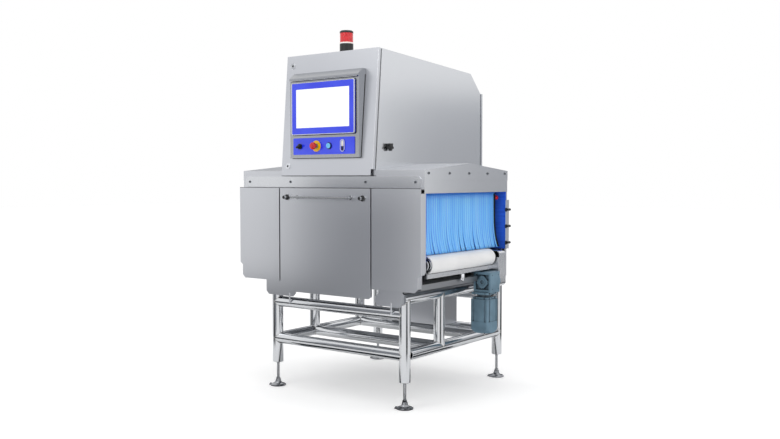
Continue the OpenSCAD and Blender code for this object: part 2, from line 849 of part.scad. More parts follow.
module curtain() translate([rod_x, 0, 0]) {
    difference() {
        rod_y_way(0, curtain_y, rod_z, hem_r);
        rod_y_way(0, [curtain_y[0] - overrun, curtain_y[1] + overrun], rod_z, rod_r + hem_play);
    }
    difference() {
        translate([-strip_t / 2, 0, rod_z - band_drop]) linear_extrude(band_drop)
            for (k = [0 : strip_count - 1]) pleat_outline(k, 0);
        rod_y_way(0, [curtain_y[0] - overrun, curtain_y[1] + overrun], rod_z, hem_r - overrun / 2);
    }
    translate([-strip_t / 2, 0, belt_top + curtain_foot])
        linear_extrude(rod_z - band_drop - belt_top - curtain_foot)
            for (k = [0 : strip_count - 1]) pleat_outline(k, slit);
}

module exit_curtain() color("deepskyblue") curtain();
module infeed_curtain() color("deepskyblue") mirror([1, 0, 0]) curtain();

module tunnel_lamp() color("firebrick") {
    rod_y_way(rod_x, [liner_in - lamp_t / 3, liner_in], lamp_z, lamp_r);
    translate([rod_x, liner_in - lamp_t / 3 + overrun, lamp_z]) rotate([90, 0, 0])
        rotate_extrude() polygon([for (s = lamp_shares) [s[0] * lamp_r, s[1] * lamp_t]]);
}

// Inspection door: a shallow pan, with hinge lugs inside its lower edge
module door_outline() {
    x = door_w / 2;
    translate([-x, door_z + door_corner]) square([door_w, door_h - door_corner]);
    translate([-x + door_corner, door_z]) square([door_w - 2 * door_corner, door_h]);
    for (s = [-1, 1]) translate([s * (x - door_corner), door_z + door_corner]) circle(door_corner);
}

module inspection_door() color("silver") {
    x = door_w / 2;
    difference() {
        plate_xz([-panel_y, door_depth - panel_y]) door_outline();
        plate_xz([panel_t - panel_y, door_depth - panel_y + overrun])
            translate([-x + panel_t, door_z - overrun])
                square([door_w - 2 * panel_t, door_h - panel_t + overrun]);
        for (s = [-1, 1]) rod_y_way(s * knob_x, [-panel_y - overrun, overrun - panel_y + panel_t],
                                    panel_top - knob_drop, star_stud_r + running_gap);
    }
    for (s = [-1, 1]) translate([s * (pivot_x + ear_t + lug_t / 2 + seat_gap), 0, 0]) difference() {
        union() {
            slab([-lug_t / 2, lug_t / 2], [panel_t - panel_y - overrun / 2, pivot_y],
                 [pivot_z - lug_r, pivot_z + lug_r]);
            rod_x_way([-lug_t / 2, lug_t / 2], pivot_y, pivot_z, lug_r);
        }
        rod_x_way([-lug_t, lug_t], pivot_y, pivot_z, pivot_r + running_gap);
        slab([-lug_t, lug_t], [-panel_y - lug_r, -panel_y], [pivot_z - 2 * lug_r, pivot_z + 2 * lug_r]);
    }
}

// Ears on the wall that carry the door's pins
module door_pivots() color("gray") both_ends() {
    plate_yz([pivot_x, pivot_x + ear_t]) {
        translate([pivot_y, pivot_z]) circle(ear_r);
        polygon([[pivot_y, pivot_z - ear_r], [-wall_y - seat_gap, pivot_z - ear_r],
                 [-wall_y - seat_gap, pivot_z + ear_rise], [pivot_y + ear_r, pivot_z + ear_rise],
                 [pivot_y - ear_r * 0.7, pivot_z + ear_r * 0.7]]);
    }
    rod_x_way([pivot_x + ear_t - overrun, pivot_x + ear_t + lug_t + 2 * seat_gap + overrun],
              pivot_y, pivot_z, pivot_r);
}

module door_handle() color("white") {
    z = panel_top - handle_drop;
    y = -panel_y - handle_reach;
    rod_x_way([-handle_half, handle_half], y, z, handle_r);
    both_ends() {
        rod_y_way(handle_half - 2 * handle_r, [y, -panel_y], z, handle_r);
        rod_y_way(handle_half - 2 * handle_r, [-panel_y - handle_r / 2, -panel_y], z, 2 * handle_r);
    }
}

// Star knob on its stud, standing on the XY plane with the stud below it
module star_outline(r, lobe_r) {
    circle(r - lobe_r);
    for (k = [1 : star_points]) rotate(k * 360 / star_points) translate([r - lobe_r, 0]) circle(lobe_r);
}

module star_knob() {
    translate([0, 0, -star_stud]) cylinder(h = star_stud + star_neck, r = star_stud_r);
    cylinder(h = star_neck, r = star_neck_r);
    translate([0, 0, star_neck]) {
        linear_extrude(star_t) star_outline(star_r, star_lobe_r);
        translate([0, 0, star_t]) cylinder(h = star_neck / 2, r1 = star_crown_r, r2 = star_neck_r);
    }
}

module door_knob(side) color("black")
    translate([side * knob_x, -panel_y - seat_gap, panel_top - knob_drop]) rotate([90, 0, 0]) {
        translate([0, 0, -star_stud]) cylinder(h = star_stud + clamp_t, r = star_stud_r);
        linear_extrude(clamp_t) star_outline(clamp_r, clamp_lobe_r);
        translate([0, 0, clamp_t]) cylinder(h = clamp_barrel, r = clamp_barrel_r);
        translate([0, 0, clamp_t + clamp_barrel]) cylinder(h = clamp_tip, r = clamp_tip_r);
    }

module door_knob_left() door_knob(-1);
module door_knob_right() door_knob(1);

// Conveyor side plates with bearing lugs, the drive's plate and cross bars
module frame_outline(drive) {
    translate([-frame_half, tray_top]) square([2 * frame_half, roller_z + frame_over - tray_top]);
    translate([-roller_x, roller_z - lug_end_r]) square([2 * roller_x, 2 * lug_end_r]);
    for (s = [-1, 1]) translate([s * roller_x, roller_z]) circle(lug_end_r);
    if (drive) translate([roller_x - lug_end_r, gear_z0 - plate_edge])
        square([cover_x[1] - cover_t - roller_x + lug_end_r, roller_z - gear_z0 + plate_edge]);
}

module conveyor_frame() color("gray") {
    for (p = [[-frame_front - frame_t, false], [frame_rear, true]]) difference() {
        plate_xz([p[0], p[0] + frame_t]) frame_outline(p[1]);
        for (s = [-1, 1]) rod_y_way(s * roller_x, [p[0] - overrun, p[0] + frame_t + overrun],
                                    roller_z, shaft_r + seat_gap);
        rod_y_way(gear_x, [p[0] - overrun, p[0] + frame_t + overrun], gear_z, hub_r + seat_gap);
    }
    for (x = [-bar_x, 0, bar_x]) rod_y_way(x, [-frame_front, frame_rear], bar_z, bar_r);
}

module slider_bed() color("lightgray") difference() {
    z = roller_z + belt_in_r - seat_gap;
    slab([-frame_half, frame_half], [-frame_front, frame_rear], [z - bed_t, z]);
    slab([-slot_x / 2, slot_x / 2], [-slot_y, belt_rear - slot_x], [z - bed_t - overrun, z + overrun]);
}

module belt_outline(r) {
    for (s = [-1, 1]) translate([s * roller_x, roller_z]) circle(r, $fn = 96);
    translate([-roller_x, roller_z - r]) square([2 * roller_x, 2 * r]);
}

module conveyor_belt() color("white") plate_xz([-belt_front, belt_rear]) difference() {
    belt_outline(belt_out_r);
    belt_outline(belt_in_r);
}

// Roller with a dished end round its hub
dish_share = 0.8;
hub_share = 1.3;

module roller(x, shaft_end) {
    y0 = -belt_front - roller_over;
    y1 = belt_rear + roller_over;
    difference() {
        rod_y_way(x, [y0, y1], roller_z, roller_r);
        for (y = [y0, y1]) difference() {
            rod_y_way(x, [y - roller_over, y + roller_over], roller_z, roller_r * dish_share);
            rod_y_way(x, [y - roller_over, y + roller_over], roller_z, shaft_r * hub_share);
        }
    }
    rod_y_way(x, [-frame_front - frame_t, y0 + overrun], roller_z, shaft_r);
    rod_y_way(x, [y1 - overrun, shaft_end], roller_z, shaft_r);
}

// Toothed pulley with side flanges
module pulley(x, z, hole_r) difference() {
    plate_xz([pulley_y, pulley_y + pulley_w]) translate([x, z]) {
        circle(pulley_d / 2 - timing_t - tooth_h);
        for (k = [0 : tooth_count - 1]) rotate(k * 360 / tooth_count)
            translate([pulley_d / 2 - timing_t - 2 * tooth_h, -tooth_h])
                square([2 * tooth_h - seat_gap, 2 * tooth_h]);
    }
    rod_y_way(x, [pulley_y - overrun, pulley_y + pulley_w + overrun], z, hole_r);
}

module pulley_sides(x, z, hole_r)
    for (y = [pulley_y - pulley_flange, pulley_y + pulley_w]) difference() {
        rod_y_way(x, [y, y + pulley_flange], z, pulley_d / 2 - timing_t / 2);
        rod_y_way(x, [y - overrun, y + pulley_flange + overrun], z, hole_r);
    }

module drive_roller() color("silver") {
    roller(roller_x, pulley_y + pulley_w + pulley_flange);
    pulley(roller_x, roller_z, shaft_r);
    pulley_sides(roller_x, roller_z, shaft_r);
}

module idler_roller() color("silver") roller(-roller_x, frame_rear + frame_t);

module roller_bearings() color("gray")
    for (s = [-1, 1], y = [-frame_front, frame_rear - bearing_t]) difference() {
        rod_y_way(s * roller_x, [y, y + bearing_t - overrun], roller_z, bearing_r);
        rod_y_way(s * roller_x, [y - overrun, y + bearing_t], roller_z, shaft_r + running_gap);
    }

module detector_housing() color("silver") difference() {
    slab([-detector_x, detector_x], [-frame_front + seat_gap, frame_rear - seat_gap],
         [detector_z, detector_z + detector_h]);
    slab([-slot_x / 2, slot_x / 2], [-slot_y, belt_rear - slot_x],
         [detector_z + detector_h - bed_t, detector_z + detector_h + overrun]);
}

// Right-angle gearbox: a recessed bearing cover on its front, a flange behind
gear_rim = 14.5;
gear_corner = 6;
gear_flange_r = 49;
diamond_w = 60;
diamond_r = 10;
diamond_t = 13;
boss_r = 19;
boss_hole_r = 11;
screw_r = 3.2;
screw_circle_r = 35;
screw_depth = 10;
side_screw_inset = 18;

module gearbox() color("slategray") difference() {
    z = [gear_z0, gear_z0 + gear_h];
    face = gear_y0 + gear_rim;
    union() {
        difference() {
            translate([0, 0, z[0]]) linear_extrude(gear_h)
                round_rect([gear_x0, gear_x0 + gear_w], [gear_y0, gear_y1], gear_corner);
            slab([gear_x0 + gear_rim, gear_x0 + gear_w - gear_rim], [gear_y0 - overrun, face],
                 [z[0] + gear_rim, z[1] - gear_rim]);
        }
        translate([gear_x, face + overrun, gear_z]) rotate([90, 45, 0]) linear_extrude(diamond_t)
            round_rect([-diamond_w / 2, diamond_w / 2], [-diamond_w / 2, diamond_w / 2], diamond_r);
        rod_y_way(gear_x, [gear_y0 + seat_gap, face], gear_z, boss_r);
        rod_y_way(gear_x, [gear_y1 - overrun, frame_rear], gear_z, gear_flange_r);
    }
    rod_y_way(gear_x, [gear_y0 - overrun, gear_y0 + gear_corner], gear_z, boss_hole_r);
    for (k = [0 : 3]) translate([gear_x, 0, gear_z]) rotate([0, k * 90, 0])
        rod_y_way(screw_circle_r, [gear_y0 - overrun, gear_y0 + screw_depth], 0, screw_r);
    rod_y_way(gear_x, [gear_y1, frame_rear + overrun], gear_z, out_shaft_r + running_gap);
    for (y = [gear_y0 + side_screw_inset, gear_y1 - side_screw_inset],
         zz = [z[0] + side_screw_inset, z[1] - side_screw_inset])
        rod_x_way([gear_x0 + gear_w - screw_depth, gear_x0 + gear_w + overrun], y, zz, screw_r);
}

// Square motor with grooved corners, hung under the gearbox, and its fan cover
motor_corner = 7;
groove_step = 19;
fan_over = 2;
fan_corner = 15;
fan_taper = 12;
neck_r = 37;
flange_share = 0.3;
flange_step = 6;

module motor_outline(w) difference() {
    round_rect([motor_x - w / 2, motor_x + w / 2], [motor_y - w / 2, motor_y + w / 2], motor_corner);
    for (sx = [-1, 1], sy = [-1, 1]) translate([motor_x + sx * w / 2, motor_y + sy * w / 2]) {
        translate([-sx * groove_step, 0]) circle(groove);
        translate([0, -sy * groove_step]) circle(groove);
    }
}

module fan_cover() {
    r = motor_w / 2 + fan_over;
    intersection() {
        translate([0, 0, motor_z0 - fan_h]) linear_extrude(fan_h - seat_gap)
            round_rect([motor_x - r, motor_x + r], [motor_y - r, motor_y + r], fan_corner);
        translate([motor_x, motor_y, motor_z0 - fan_h]) {
            cylinder(h = fan_taper, r1 = r, r2 = r + fan_taper);
            translate([0, 0, fan_taper]) cylinder(h = fan_h - fan_taper, r1 = r + fan_taper, r2 = 2 * r);
        }
    }
}

module terminal_box() {
    y = motor_y + motor_w / 2 + seat_gap;
    z = motor_z0 + box_foot;
    translate([0, 0, z]) linear_extrude(box_h)
        round_rect([motor_x - box_w / 2, motor_x + box_w / 2], [y, y + box_y], box_r);
    rod_z_way(motor_x, y + box_y / 2, [z + box_h, z + box_h + gland_h], gland_r);
}

module motor() color("slategray") {
    translate([0, 0, motor_z0]) linear_extrude(motor_h) motor_outline(motor_w);
    fan_cover();
    rod_z_way(motor_x, motor_y, [motor_z1, gear_z0 - seat_gap], neck_r);
    translate([0, 0, motor_z1]) linear_extrude(neck_zh * flange_share)
        motor_outline(motor_w - 2 * flange_step);
    translate([0, 0, gear_z0 - seat_gap - neck_zh * flange_share]) linear_extrude(neck_zh * flange_share)
        motor_outline(motor_w - flange_step);
    terminal_box();
}

// Cable held between the terminal box and the lower equipment box
module motor_cable() color("black") {
    run_y = cable_y + 2 * cable_bend;
    translate([motor_x, cable_y + cable_bend, cable_z - cable_bend]) rotate([90, 0, -90])
        rotate_extrude(angle = 90) translate([cable_bend, 0]) circle(cable_r);
    translate([motor_x - cable_bend, cable_y + cable_bend, cable_z])
        rotate_extrude(angle = 90) translate([cable_bend, 0]) circle(cable_r);
    rod_x_way([cable_entry_x + cable_bend, motor_x - cable_bend], run_y, cable_z, cable_r);
    translate([cable_entry_x + cable_bend, run_y + cable_bend, cable_z]) rotate(180)
        rotate_extrude(angle = 90) translate([cable_bend, 0]) circle(cable_r);
    rod_y_way(cable_entry_x, [run_y + cable_bend, lower_box_y[0]], cable_z, cable_r);
}

// Cover over the timing belt, open to its plate and round on the rear edges
module cover_block(inset) intersection() {
    plate_xz([cover_y0, cover_y1 - inset])
        round_rect([cover_x[0] + inset, cover_x[1] - inset], [cover_z[0] + inset, cover_z[1] - inset],
                   cover_r - inset);
    plate_yz(cover_x) {
        round_rect([cover_y0 - cover_r, cover_y1 - inset], [cover_z[0] + inset, cover_z[1] - inset],
                   cover_r - inset);
    }
}

module drive_cover() color("lightgray") difference() {
    cover_block(0);
    translate([0, -overrun, 0]) cover_block(cover_t);
}

module gearbox_pulley() color("silver") {
    rod_y_way(gear_x, [gear_y1 + seat_gap, pulley_y + pulley_w + pulley_flange], gear_z, out_shaft_r);
    pulley(gear_x, gear_z, out_shaft_r);
    pulley_sides(gear_x, gear_z, out_shaft_r);
}

// The belt's two runs touch both pulleys, so its outline is turned to their line
module timing_outline(r) {
    run = norm([gear_step_x, gear_drop]);
    turn = -atan2(gear_drop, gear_step_x);
    translate([roller_x, roller_z]) rotate(turn) {
        circle(r);
        translate([run, 0]) circle(r);
        translate([0, -r]) square([run, 2 * r]);
    }
}

module timing_belt() color("black")
    plate_xz([pulley_y + seat_gap, pulley_y + pulley_w - seat_gap]) difference() {
        timing_outline(pulley_d / 2);
        timing_outline(pulley_d / 2 - timing_t + seat_gap);
    }

// Lower equipment box between the rails, with its lid on the rear
module drive_box() color("silver") {
    y = lower_box_y;
    z1 = tray_z - seat_gap;
    difference() {
        slab(lower_box_x, y, [lower_box_z0, z1]);
        slab([lower_box_x[0] + lid_t, lower_box_x[1] - lid_t], [y[0] + lid_t, y[1] + overrun],
             [lower_box_z0 + lid_t, z1 - lid_t]);
    }
    slab(lower_box_x, [y[1] + seat_gap, y[1] + seat_gap + lid_t], [lower_box_z0, z1]);
}

// Side view of the cabinet, drawn in by the given amount from its outside
function roof_z(y) = ridge_h - abs(y) * roof_rise / hood_y;
function front_y(z) = door_foot_y + (z - door_foot_z) * lean_tan + seam_y;

module cabinet_outline(inset) {
    z1 = roof_front_z - inset;
    y0 = front_y(eave_h + 2 * cab_t);
    polygon([
        [y0, roof_z(y0)], [0, ridge_h], [hood_y, eave_h], [hood_y, cab_foot_z + inset],
        [cabinet_rear - inset, cab_foot_z + inset], [cabinet_rear - inset, rear_top_z],
        [cabinet_rear - inset - chamfer_y, rear_top_z + chamfer_z - inset],
        [front_y(z1), z1]]);
}

// A space whose front is the cabinet's leaning seam plane
module on_door() translate([0, door_foot_y, door_foot_z]) rotate([-door_lean, 0, 0]) children();

module cabinet_front(x, z) on_door()
    slab(x, [cabinet_door_t + seam - overrun, cabinet_door_t + seam + cab_t + overrun], z);

module upper_cabinet() color("silver") {
    difference() {
        plate_yz([-cab_x, cab_x]) cabinet_outline(0);
        difference() {
            plate_yz([cab_t - cab_x, cab_x - cab_t]) cabinet_outline(cab_t);
            on_door() slab([-cab_x, cab_x], [cabinet_door_t, cabinet_door_t + seam + cab_t],
                           [0, cabinet_door_h + seam]);
        }
        slab([cab_t - cab_x, cab_x - cab_t], [-tank_y * 2, tank_y * 2], [eave_h - overrun, ridge_h + overrun]);
        cabinet_front([frame_w - cab_x, cab_x - frame_w],
                      [lip_h + sill_h, cabinet_door_h - frame_w * 3 / 2]);
        slab([frame_w - cab_x, cab_x - frame_w], [cabinet_rear - 2 * cab_t, cabinet_rear + overrun],
             [cab_foot_z + frame_w, rear_top_z - frame_w]);
        rod_x_way([cab_x - 2 * cab_t, cab_x + overrun], side_knob_y, side_knob_z,
                  star_stud_r + running_gap);
    }
    for (z = hinge_z) on_door() translate([hinge_x, hinge_y, z - arm_h / 2]) difference() {
        union() {
            cylinder(h = arm_h, r = arm_r);
            translate([-arm_reach, -arm_r, 0]) cube([arm_reach, 2 * arm_r, arm_h]);
            translate([-arm_reach, -arm_r, 0])
                cube([arm_reach - 2 * arm_r, seam + hinge_set[1] + arm_r + 2 * cab_t, arm_h]);
        }
        translate([0, 0, -overrun]) cylinder(h = arm_h + 2 * overrun, r = hinge_pin_r + running_gap);
    }
}

// Cabinet door: a pan with a lip turned in all round, and a plain foot below
module cabinet_door() color("gainsboro") on_door() difference() {
    slab([-cab_x, cab_x], [0, cabinet_door_t], [0, cabinet_door_h]);
    slab([-cab_x - overrun, cab_x + overrun], [cab_t, cabinet_door_t + overrun], [-overrun, lip_h]);
    slab([hinge_x - flap_back, cab_x + overrun], [-overrun, cab_t + overrun], [-overrun, lip_h]);
    slab([cab_t - cab_x, cab_x - cab_t], [cab_t, cabinet_door_t - cab_t],
         [lip_h + cab_t, cabinet_door_h - cab_t]);
    slab([frame_w - cab_x, cab_x - frame_w], [cab_t, cabinet_door_t + overrun],
         [lip_h + sill_h, cabinet_door_h - frame_w]);
    for (z = hinge_z)
        slab([hinge_x - arm_reach - arm_r, cab_x - cab_t], [2 * cab_t, cabinet_door_t + overrun],
             [z - arm_h / 2 - hinge_lug_h - hinge_play, z + arm_h / 2 + hinge_lug_h + hinge_play]);
    for (z = lock_z) rod_y_way(lock_x, [-overrun, cab_t + overrun], z, barrel_r);
}

module door_gasket() color("black") on_door() difference() {
    x = cab_x - frame_w + gasket_w;
    y = [cabinet_door_t, cabinet_door_t + seam - seat_gap];
    slab([-x, x], y, [lip_h + sill_h / 3, cabinet_door_h - frame_w + gasket_w]);
    slab([frame_w - cab_x, cab_x - frame_w], [y[0] - overrun, y[1] + overrun],
         [lip_h + sill_h, cabinet_door_h - frame_w]);
}

// Lock barrels, and the lugs and pins of the cabinet door's hinges
module door_fittings() color("white") on_door() {
    for (z = lock_z) difference() {
        union() {
            rod_y_way(lock_x, [-barrel_flange_t, 0], z, barrel_flange_r);
            rod_y_way(lock_x, [-barrel_flange_t, cabinet_door_t - cab_t], z, barrel_r);
        }
        rod_y_way(lock_x, [-barrel_flange_t - overrun, cabinet_door_t], z, core_r + running_gap);
    }
    for (z = hinge_z) {
        for (s = [z - arm_h / 2 - hinge_lug_h - hinge_play, z + arm_h / 2 + hinge_play])
            slab([hinge_x - arm_r, cab_x - cab_t], [hinge_y - arm_r, hinge_y + arm_r],
                 [s, s + hinge_lug_h]);
        rod_z_way(hinge_x, hinge_y, [z - arm_h / 2 - hinge_lug_h, z + arm_h / 2 + hinge_lug_h],
                  hinge_pin_r);
    }
}

// The upper lock's tongue turns behind the frame's side, the lower one behind its sill
module lock_core(k, tongue_x, tongue_z) color("dimgray") on_door() translate([lock_x, 0, lock_z[k]]) {
    difference() {
        rod_y_way(0, [-barrel_flange_t, tongue_y], 0, core_r);
        slab([-core_r / 5, core_r / 5], [-barrel_flange_t - overrun, -barrel_flange_t / 3],
             [-barrel_r / 2, barrel_r / 2]);
    }
    rod_y_way(0, [tongue_y, tongue_y + tongue_t], 0, tongue_w / 2);
    slab(tongue_x, [tongue_y, tongue_y + tongue_t], tongue_z);
}

module lock_core_top() lock_core(1, [-tongue_w / 2, tongue_w / 2], [-tongue_l, 0]);
module lock_core_bottom() lock_core(0, [0, tongue_foot_l], [-tongue_w / 2, tongue_w / 2]);

module side_knob() color("black")
    translate([cab_x + seat_gap, side_knob_y, side_knob_z]) rotate([0, 90, 0]) star_knob();

module rear_cover() color("gainsboro") {
    y = [cabinet_rear, cabinet_rear + rear_gap, cabinet_rear + rear_gap + rear_cover_t];
    slab([-cab_x, cab_x], [y[1], y[2]], [cab_foot_z, rear_top_z]);
    difference() {
        slab([rear_inset - cab_x, cab_x - rear_inset], [y[0], y[1]],
             [cab_foot_z + rear_inset, rear_top_z - rear_inset]);
        slab([frame_w - cab_x, cab_x - frame_w], [y[0] - overrun, y[1] - overrun],
             [cab_foot_z + frame_w, rear_top_z - frame_w]);
    }
}

// Housing of the operator panel, a wedge between the door and an upright front
function door_face_y(z) = door_foot_y + (z - door_foot_z) * lean_tan - seat_gap;

module hmi_outline(inset, back) {
    z1 = hmi_z + hmi_h;
    polygon([
        [hmi_y + inset, hmi_z + inset], [hmi_y + inset, z1 - hmi_lip_h - inset],
        [hmi_y - hmi_lip + inset, z1 - hmi_lip_h + hmi_lip],
        [hmi_y - hmi_lip + inset, z1 - inset],
        [hmi_y + hmi_brow_y, z1 + hmi_brow_z - inset],
        [door_face_y(z1 + hmi_brow_z) + back, z1 + hmi_brow_z - inset],
        [door_face_y(hmi_z) + back, hmi_z + inset]]);
}

module hmi_housing() color("silver") difference() {
    plate_yz([-hmi_w / 2, hmi_w / 2]) hmi_outline(0, 0);
    plate_yz([hmi_t - hmi_w / 2, hmi_w / 2 - hmi_t]) hmi_outline(hmi_t, overrun);
    for (x = [switch_x, stop_x, reset_x])
        rod_y_way(x, [hmi_y - overrun, hmi_y + hmi_t + overrun], control_mid, stem_r + running_gap);
}

module touch_screen() color("blue") difference() {
    y0 = hmi_y - screen_t;
    plate_xz([y0, hmi_y]) round_rect([-screen_w / 2, screen_w / 2], [screen_z, screen_z + screen_h],
                                     screen_t / 2);
    slab([glass_margin[0] - screen_w / 2, screen_w / 2 - glass_margin[0]],
         [y0 - overrun, y0 + glass_sink],
         [screen_z + glass_margin[1], screen_z + screen_h - glass_margin[1]]);
}

module control_plate() color("blue") difference() {
    y0 = hmi_y - control_t;
    union() {
        plate_xz([y0, hmi_y]) round_rect([-control_w / 2, control_w / 2],
                                         [control_z, control_z + control_h], control_t);
        rod_y_way(reset_x, [y0 - control_t, y0], control_mid, bezel_r);
        plate_xz([y0 - control_t, y0 + overrun])
            round_rect([port_x - port_w / 2, port_x + port_w / 2],
                       [control_mid - port_h / 2, control_mid + port_h / 2], port_corner);
    }
    for (x = [switch_x, stop_x, reset_x])
        rod_y_way(x, [y0 - 2 * control_t, hmi_y + overrun], control_mid, stem_r + running_gap);
    plate_xz([y0 - 2 * control_t, y0 - control_t / 2])
        round_rect([port_x - port_w / 2 + port_rim, port_x + port_w / 2 - port_rim],
                   [control_mid - port_h / 2 + port_rim, control_mid + port_h / 2 - port_rim],
                   port_corner - port_rim);
}

// Selector with a raised grip bar, turned towards its first mark
module rotary_switch() color("black") {
    y0 = hmi_y - control_t;
    rod_y_way(switch_x, [y0 - seat_gap, hmi_y + hmi_t], control_mid, stem_r);
    rod_y_way(switch_x, [y0 - grip_foot - seat_gap, y0 - seat_gap], control_mid, bezel_r);
    translate([switch_x, 0, control_mid]) rotate([0, -grip_turn, 0])
        plate_xz([y0 - grip_foot - grip_t, y0 - grip_foot])
            round_rect([-bezel_r, bezel_r], [-grip_w / 2, grip_w / 2], grip_corner);
}

module estop_collar() color("gold") difference() {
    y0 = hmi_y - control_t;
    rod_y_way(stop_x, [y0 - collar_t, y0], control_mid, collar_r);
    rod_y_way(stop_x, [y0 - collar_t - overrun, y0 + overrun], control_mid, stem_r + running_gap);
}

stop_shares = [[0, 0], [0.72, 0], [0.92, 0.18], [1, 0.4], [0.96, 0.7], [0.76, 0.92], [0.4, 1], [0, 1]];

module estop_button() color("red") {
    y0 = hmi_y - control_t - collar_t - head_gap;
    rod_y_way(stop_x, [y0, hmi_y + hmi_t], control_mid, stem_r);
    translate([stop_x, y0, control_mid]) rotate([90, 0, 0]) rotate_extrude()
        polygon([for (s = stop_shares) [s[0] * stop_d / 2, s[1] * stop_head_t]]);
}

module reset_button() color("lightskyblue") {
    y0 = hmi_y - 2 * control_t - reset_travel - seat_gap;
    rod_y_way(reset_x, [y0, hmi_y + hmi_t], control_mid, stem_r);
    rod_y_way(reset_x, [y0 - reset_cap_t, y0], control_mid, reset_cap_r);
}

// Beacon on the cabinet's sloping roof: base and cap, and the lens between them
beacon_r = beacon_d / 2;
beacon_cap_shares = [[0, 0], [1, 0], [1, 0.6], [0.85, 1], [0, 1]];
roof_slope = cabinet_fall / (cabinet_rear - chamfer_y - front_y(roof_front_z));
beacon_z = roof_front_z - (beacon_y - front_y(roof_front_z)) * roof_slope;

module beacon_base() color("black") {
    difference() {
        rod_z_way(0, beacon_y, [beacon_z - beacon_r, beacon_z + beacon_foot], beacon_r);
        plate_yz([-beacon_d, beacon_d]) cabinet_outline(0);
    }
    translate([0, beacon_y, beacon_z + beacon_foot + lens_h + seat_gap]) rotate_extrude()
        polygon([for (s = beacon_cap_shares) [s[0] * beacon_r, s[1] * beacon_cap]]);
}

module beacon_lens() color("red")
    rod_z_way(0, beacon_y, [beacon_z + beacon_foot + seat_gap, beacon_z + beacon_foot + lens_h],
              beacon_r - lens_step);

// Generator tank, standing on the collimator inside the cabinet
module xray_generator() color("gray") {
    z0 = wall_top + ceiling_t + collimator_h + seat_gap;
    plate_xz([-tank_y, tank_y]) polygon([
        [-tank_x, z0], [tank_x, z0], [tank_x, z0 + tank_h - tank_cut],
        [tank_x - tank_cut, z0 + tank_h], [tank_cut - tank_x, z0 + tank_h],
        [-tank_x, z0 + tank_h - tank_cut]]);
}

module placed() translate(plan_shift) children();

placed() stand_posts();
placed() long_rails();
placed() end_rails();
placed() foot_front_left();
placed() foot_front_right();
placed() foot_rear_left();
placed() foot_rear_right();
placed() support_brackets();
placed() base_tray();
placed() tunnel_walls();
placed() tunnel_liners();
placed() tunnel_ceiling();
placed() tunnel_hood();
placed() hood_flanges();
placed() panel_bolts();
placed() front_skirt_left();
placed() front_skirt_right();
placed() rear_panels();
placed() ring_pins();
placed() curtain_rods();
placed() exit_curtain();
placed() infeed_curtain();
placed() tunnel_lamp();
placed() inspection_door();
placed() door_handle();
placed() door_knob_left();
placed() door_knob_right();
placed() door_pivots();
placed() conveyor_frame();
placed() slider_bed();
placed() conveyor_belt();
placed() drive_roller();
placed() idler_roller();
placed() roller_bearings();
placed() detector_housing();
placed() gearbox();
placed() motor();
placed() motor_cable();
placed() drive_cover();
placed() gearbox_pulley();
placed() timing_belt();
placed() drive_box();
placed() upper_cabinet();
placed() cabinet_door();
placed() door_gasket();
placed() door_fittings();
placed() lock_core_top();
placed() lock_core_bottom();
placed() side_knob();
placed() rear_cover();
placed() hmi_housing();
placed() touch_screen();
placed() control_plate();
placed() rotary_switch();
placed() estop_collar();
placed() estop_button();
placed() reset_button();
placed() beacon_base();
placed() beacon_lens();
placed() xray_generator();
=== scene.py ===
# %% [markdown]
# # X-ray inspection machine, dressed for the camera
# The CAD parts come in as a fixed frame, in metres, with every joint at rest. Modelled
# again for the picture, they would drift away from the drawing. So this notebook leaves
# each part as it is, gives it its finish, and adds what a construction drawing leaves out:
# weld beads, curtain strips, lens ribs, seals and a cable.

# %% Load the frame
import json
import math
import random

import bmesh
import bpy
from mathutils import Matrix, Vector


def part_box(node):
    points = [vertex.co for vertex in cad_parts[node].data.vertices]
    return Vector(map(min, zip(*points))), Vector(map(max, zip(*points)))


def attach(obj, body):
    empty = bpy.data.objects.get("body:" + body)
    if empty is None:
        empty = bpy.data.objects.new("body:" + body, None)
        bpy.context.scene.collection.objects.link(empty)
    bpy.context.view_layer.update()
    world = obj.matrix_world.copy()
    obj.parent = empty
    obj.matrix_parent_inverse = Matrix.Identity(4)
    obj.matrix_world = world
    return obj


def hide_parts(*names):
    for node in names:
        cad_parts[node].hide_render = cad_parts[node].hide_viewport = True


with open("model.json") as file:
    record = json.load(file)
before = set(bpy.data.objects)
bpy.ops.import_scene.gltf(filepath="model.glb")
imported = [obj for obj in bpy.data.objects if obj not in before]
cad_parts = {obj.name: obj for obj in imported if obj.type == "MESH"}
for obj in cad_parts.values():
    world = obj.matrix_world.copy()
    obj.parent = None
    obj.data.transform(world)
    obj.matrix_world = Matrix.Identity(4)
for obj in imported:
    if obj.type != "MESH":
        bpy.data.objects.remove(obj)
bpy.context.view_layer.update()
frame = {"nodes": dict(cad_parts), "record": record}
nodes = frame["nodes"]
mm = 0.001
print("parts in the frame:", len(nodes))

# %% [markdown]
# The photograph was taken from the right front corner, at about chest height. A camera
# aimed by eye comes close, but a lens and a place worked out from the photograph's own
# edges let every edge be compared. The focal length is in pixels of the photograph.

# %% Camera
photo_wide_px = 780
focal_px = 888.5
sensor_mm = 36
camera_place = (3.108, -4.146, 1.1806)
camera_turn = 0.639
camera_dip = 0.046

camera_data = bpy.data.cameras.new("camera")
camera_data.sensor_width = sensor_mm
camera_data.lens = focal_px / photo_wide_px * sensor_mm
camera = bpy.data.objects.new("camera", camera_data)
camera.location = camera_place
camera.rotation_euler = (math.pi / 2 - camera_dip, 0, camera_turn)
bpy.context.collection.objects.link(camera)
bpy.context.scene.camera = camera
print("lens in mm:", round(camera_data.lens, 2))

# %% [markdown]
# ## Finishes
# Each finish is one node tree. It could be set up by hand in the editor, but lines of
# script can be read, repeated and changed. Colours are the sRGB hex values that a colour
# picker shows, and one function turns them to the linear numbers that the shader expects.

